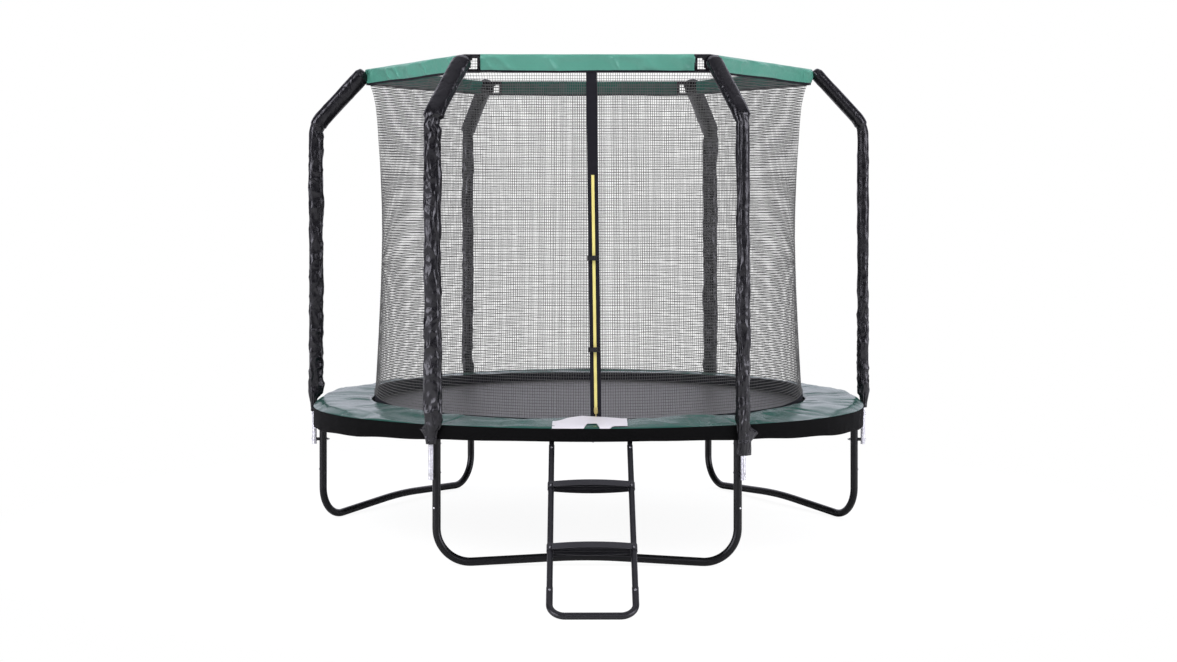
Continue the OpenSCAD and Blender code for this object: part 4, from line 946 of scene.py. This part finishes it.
def floor():
    """White floor that keeps a faint shadow close to the object."""
    size = 60
    corners = [(-size, -size, 0), (size, -size, 0), (size, size, 0), (-size, size, 0)]
    obj = make("floor", corners, [[0, 1, 2, 3]], False)
    mat, nt, bsdf = shader("floor", (0.85, 0.85, 0.85), 0.9, spec=0.1)
    out = nt.nodes["Material Output"]
    path = node(nt, "ShaderNodeLightPath")
    glow = node(nt, "ShaderNodeEmission", Strength=1.0)
    glow.inputs["Color"].default_value = (1, 1, 1, 1)
    near = node(nt, "ShaderNodeEmission", Strength=0.925)
    dim = node(nt, "ShaderNodeBsdfDiffuse")
    dim.inputs["Color"].default_value = (0.16, 0.16, 0.16, 1)
    add = node(nt, "ShaderNodeAddShader")
    fade = node(nt, "ShaderNodeMixShader")
    mix = node(nt, "ShaderNodeMixShader")
    tc = node(nt, "ShaderNodeTexCoord")
    length = node(nt, "ShaderNodeVectorMath", operation="LENGTH")
    nt.links.new(tc.outputs["Object"], length.inputs[0])
    reach = node(nt, "ShaderNodeMapRange", interpolation_type="SMOOTHSTEP")
    reach.inputs["From Min"].default_value = 1.7
    reach.inputs["From Max"].default_value = 3.4
    nt.links.new(length.outputs["Value"], reach.inputs["Value"])
    nt.links.new(near.outputs[0], add.inputs[0])
    nt.links.new(dim.outputs[0], add.inputs[1])
    nt.links.new(reach.outputs["Result"], fade.inputs[0])
    nt.links.new(add.outputs[0], fade.inputs[1])
    nt.links.new(glow.outputs[0], fade.inputs[2])
    nt.links.new(path.outputs["Is Camera Ray"], mix.inputs[0])
    nt.links.new(bsdf.outputs[0], mix.inputs[1])
    nt.links.new(fade.outputs[0], mix.inputs[2])
    nt.links.new(mix.outputs[0], out.inputs["Surface"])
    obj.data.materials.append(mat)


def soft_patches(nt, tc, level):
    """Strength of the world for reflections: a low level with the bright patches added."""
    for direction, inner, outer, bright in SOFTBOXES:
        dot = node(nt, "ShaderNodeVectorMath", operation="DOT_PRODUCT")
        nt.links.new(tc.outputs["Generated"], dot.inputs[0])
        dot.inputs[1].default_value = np.array(direction) / np.linalg.norm(direction)
        lobe = node(nt, "ShaderNodeMapRange", interpolation_type="SMOOTHSTEP")
        lobe.inputs["From Min"].default_value = math.cos(outer * D)
        lobe.inputs["From Max"].default_value = math.cos(inner * D)
        lobe.inputs["To Max"].default_value = bright
        nt.links.new(dot.outputs["Value"], lobe.inputs["Value"])
        level = math_node(nt, "ADD", lobe.outputs["Result"], level)
    return level


def world_light():
    """World: white to the camera, soft patches to reflections, a plain level to all else."""
    world = bpy.data.worlds.new("world")
    bpy.context.scene.world = world
    world.use_nodes = True
    nt = world.node_tree
    bg = nt.nodes["Background"]
    path = node(nt, "ShaderNodeLightPath")
    tc = node(nt, "ShaderNodeTexCoord")
    shine = soft_patches(nt, tc, 0.07)
    rest = math_node(nt, "SUBTRACT", 1.0, path.outputs["Is Glossy Ray"])
    unseen = math_node(nt, "ADD", math_node(nt, "MULTIPLY", shine, path.outputs["Is Glossy Ray"]),
                       math_node(nt, "MULTIPLY", rest, 0.62))
    strength = math_node(nt, "MAXIMUM", unseen, path.outputs["Is Camera Ray"])
    tint = node(nt, "ShaderNodeMix", data_type="RGBA")
    tint.inputs["A"].default_value = (0.98, 0.96, 1.09, 1)
    tint.inputs["B"].default_value = (1, 1, 1, 1)
    nt.links.new(path.outputs["Is Camera Ray"], tint.inputs["Factor"])
    nt.links.new(tint.outputs["Result"], bg.inputs["Color"])
    nt.links.new(strength, bg.inputs["Strength"])


def area_light(name, loc, target, size, power):
    """Area light aimed at a target; reflections don't see it."""
    light = bpy.data.objects.new(name, bpy.data.lights.new(name, "AREA"))
    bpy.context.scene.collection.objects.link(light)
    light.data.shape = "RECTANGLE"
    light.data.size, light.data.size_y = size
    light.data.energy = power
    light.visible_glossy = False
    light.location = loc
    x, y, z = np.array(target, float) - np.array(loc, float)
    light.rotation_euler = (math.atan2(math.hypot(x, y), -z), 0, math.atan2(y, x) - PI / 2)


floor()
world_light()
area_light("key", (-4.5, -6.5, 6.5), (0, 0, 1.2), (3.5, 3.5), 330)
area_light("side", (6.5, -3.0, 4.0), (0, 0, 1.2), (2.5, 4.0), 170)
area_light("top", (0, 1.0, 7.5), (0, 0, 0.7), (5, 5), 150)
area_light("rim", (1.0, 7.5, 4.5), (0, 0, 0.9), (6, 2.5), 210)
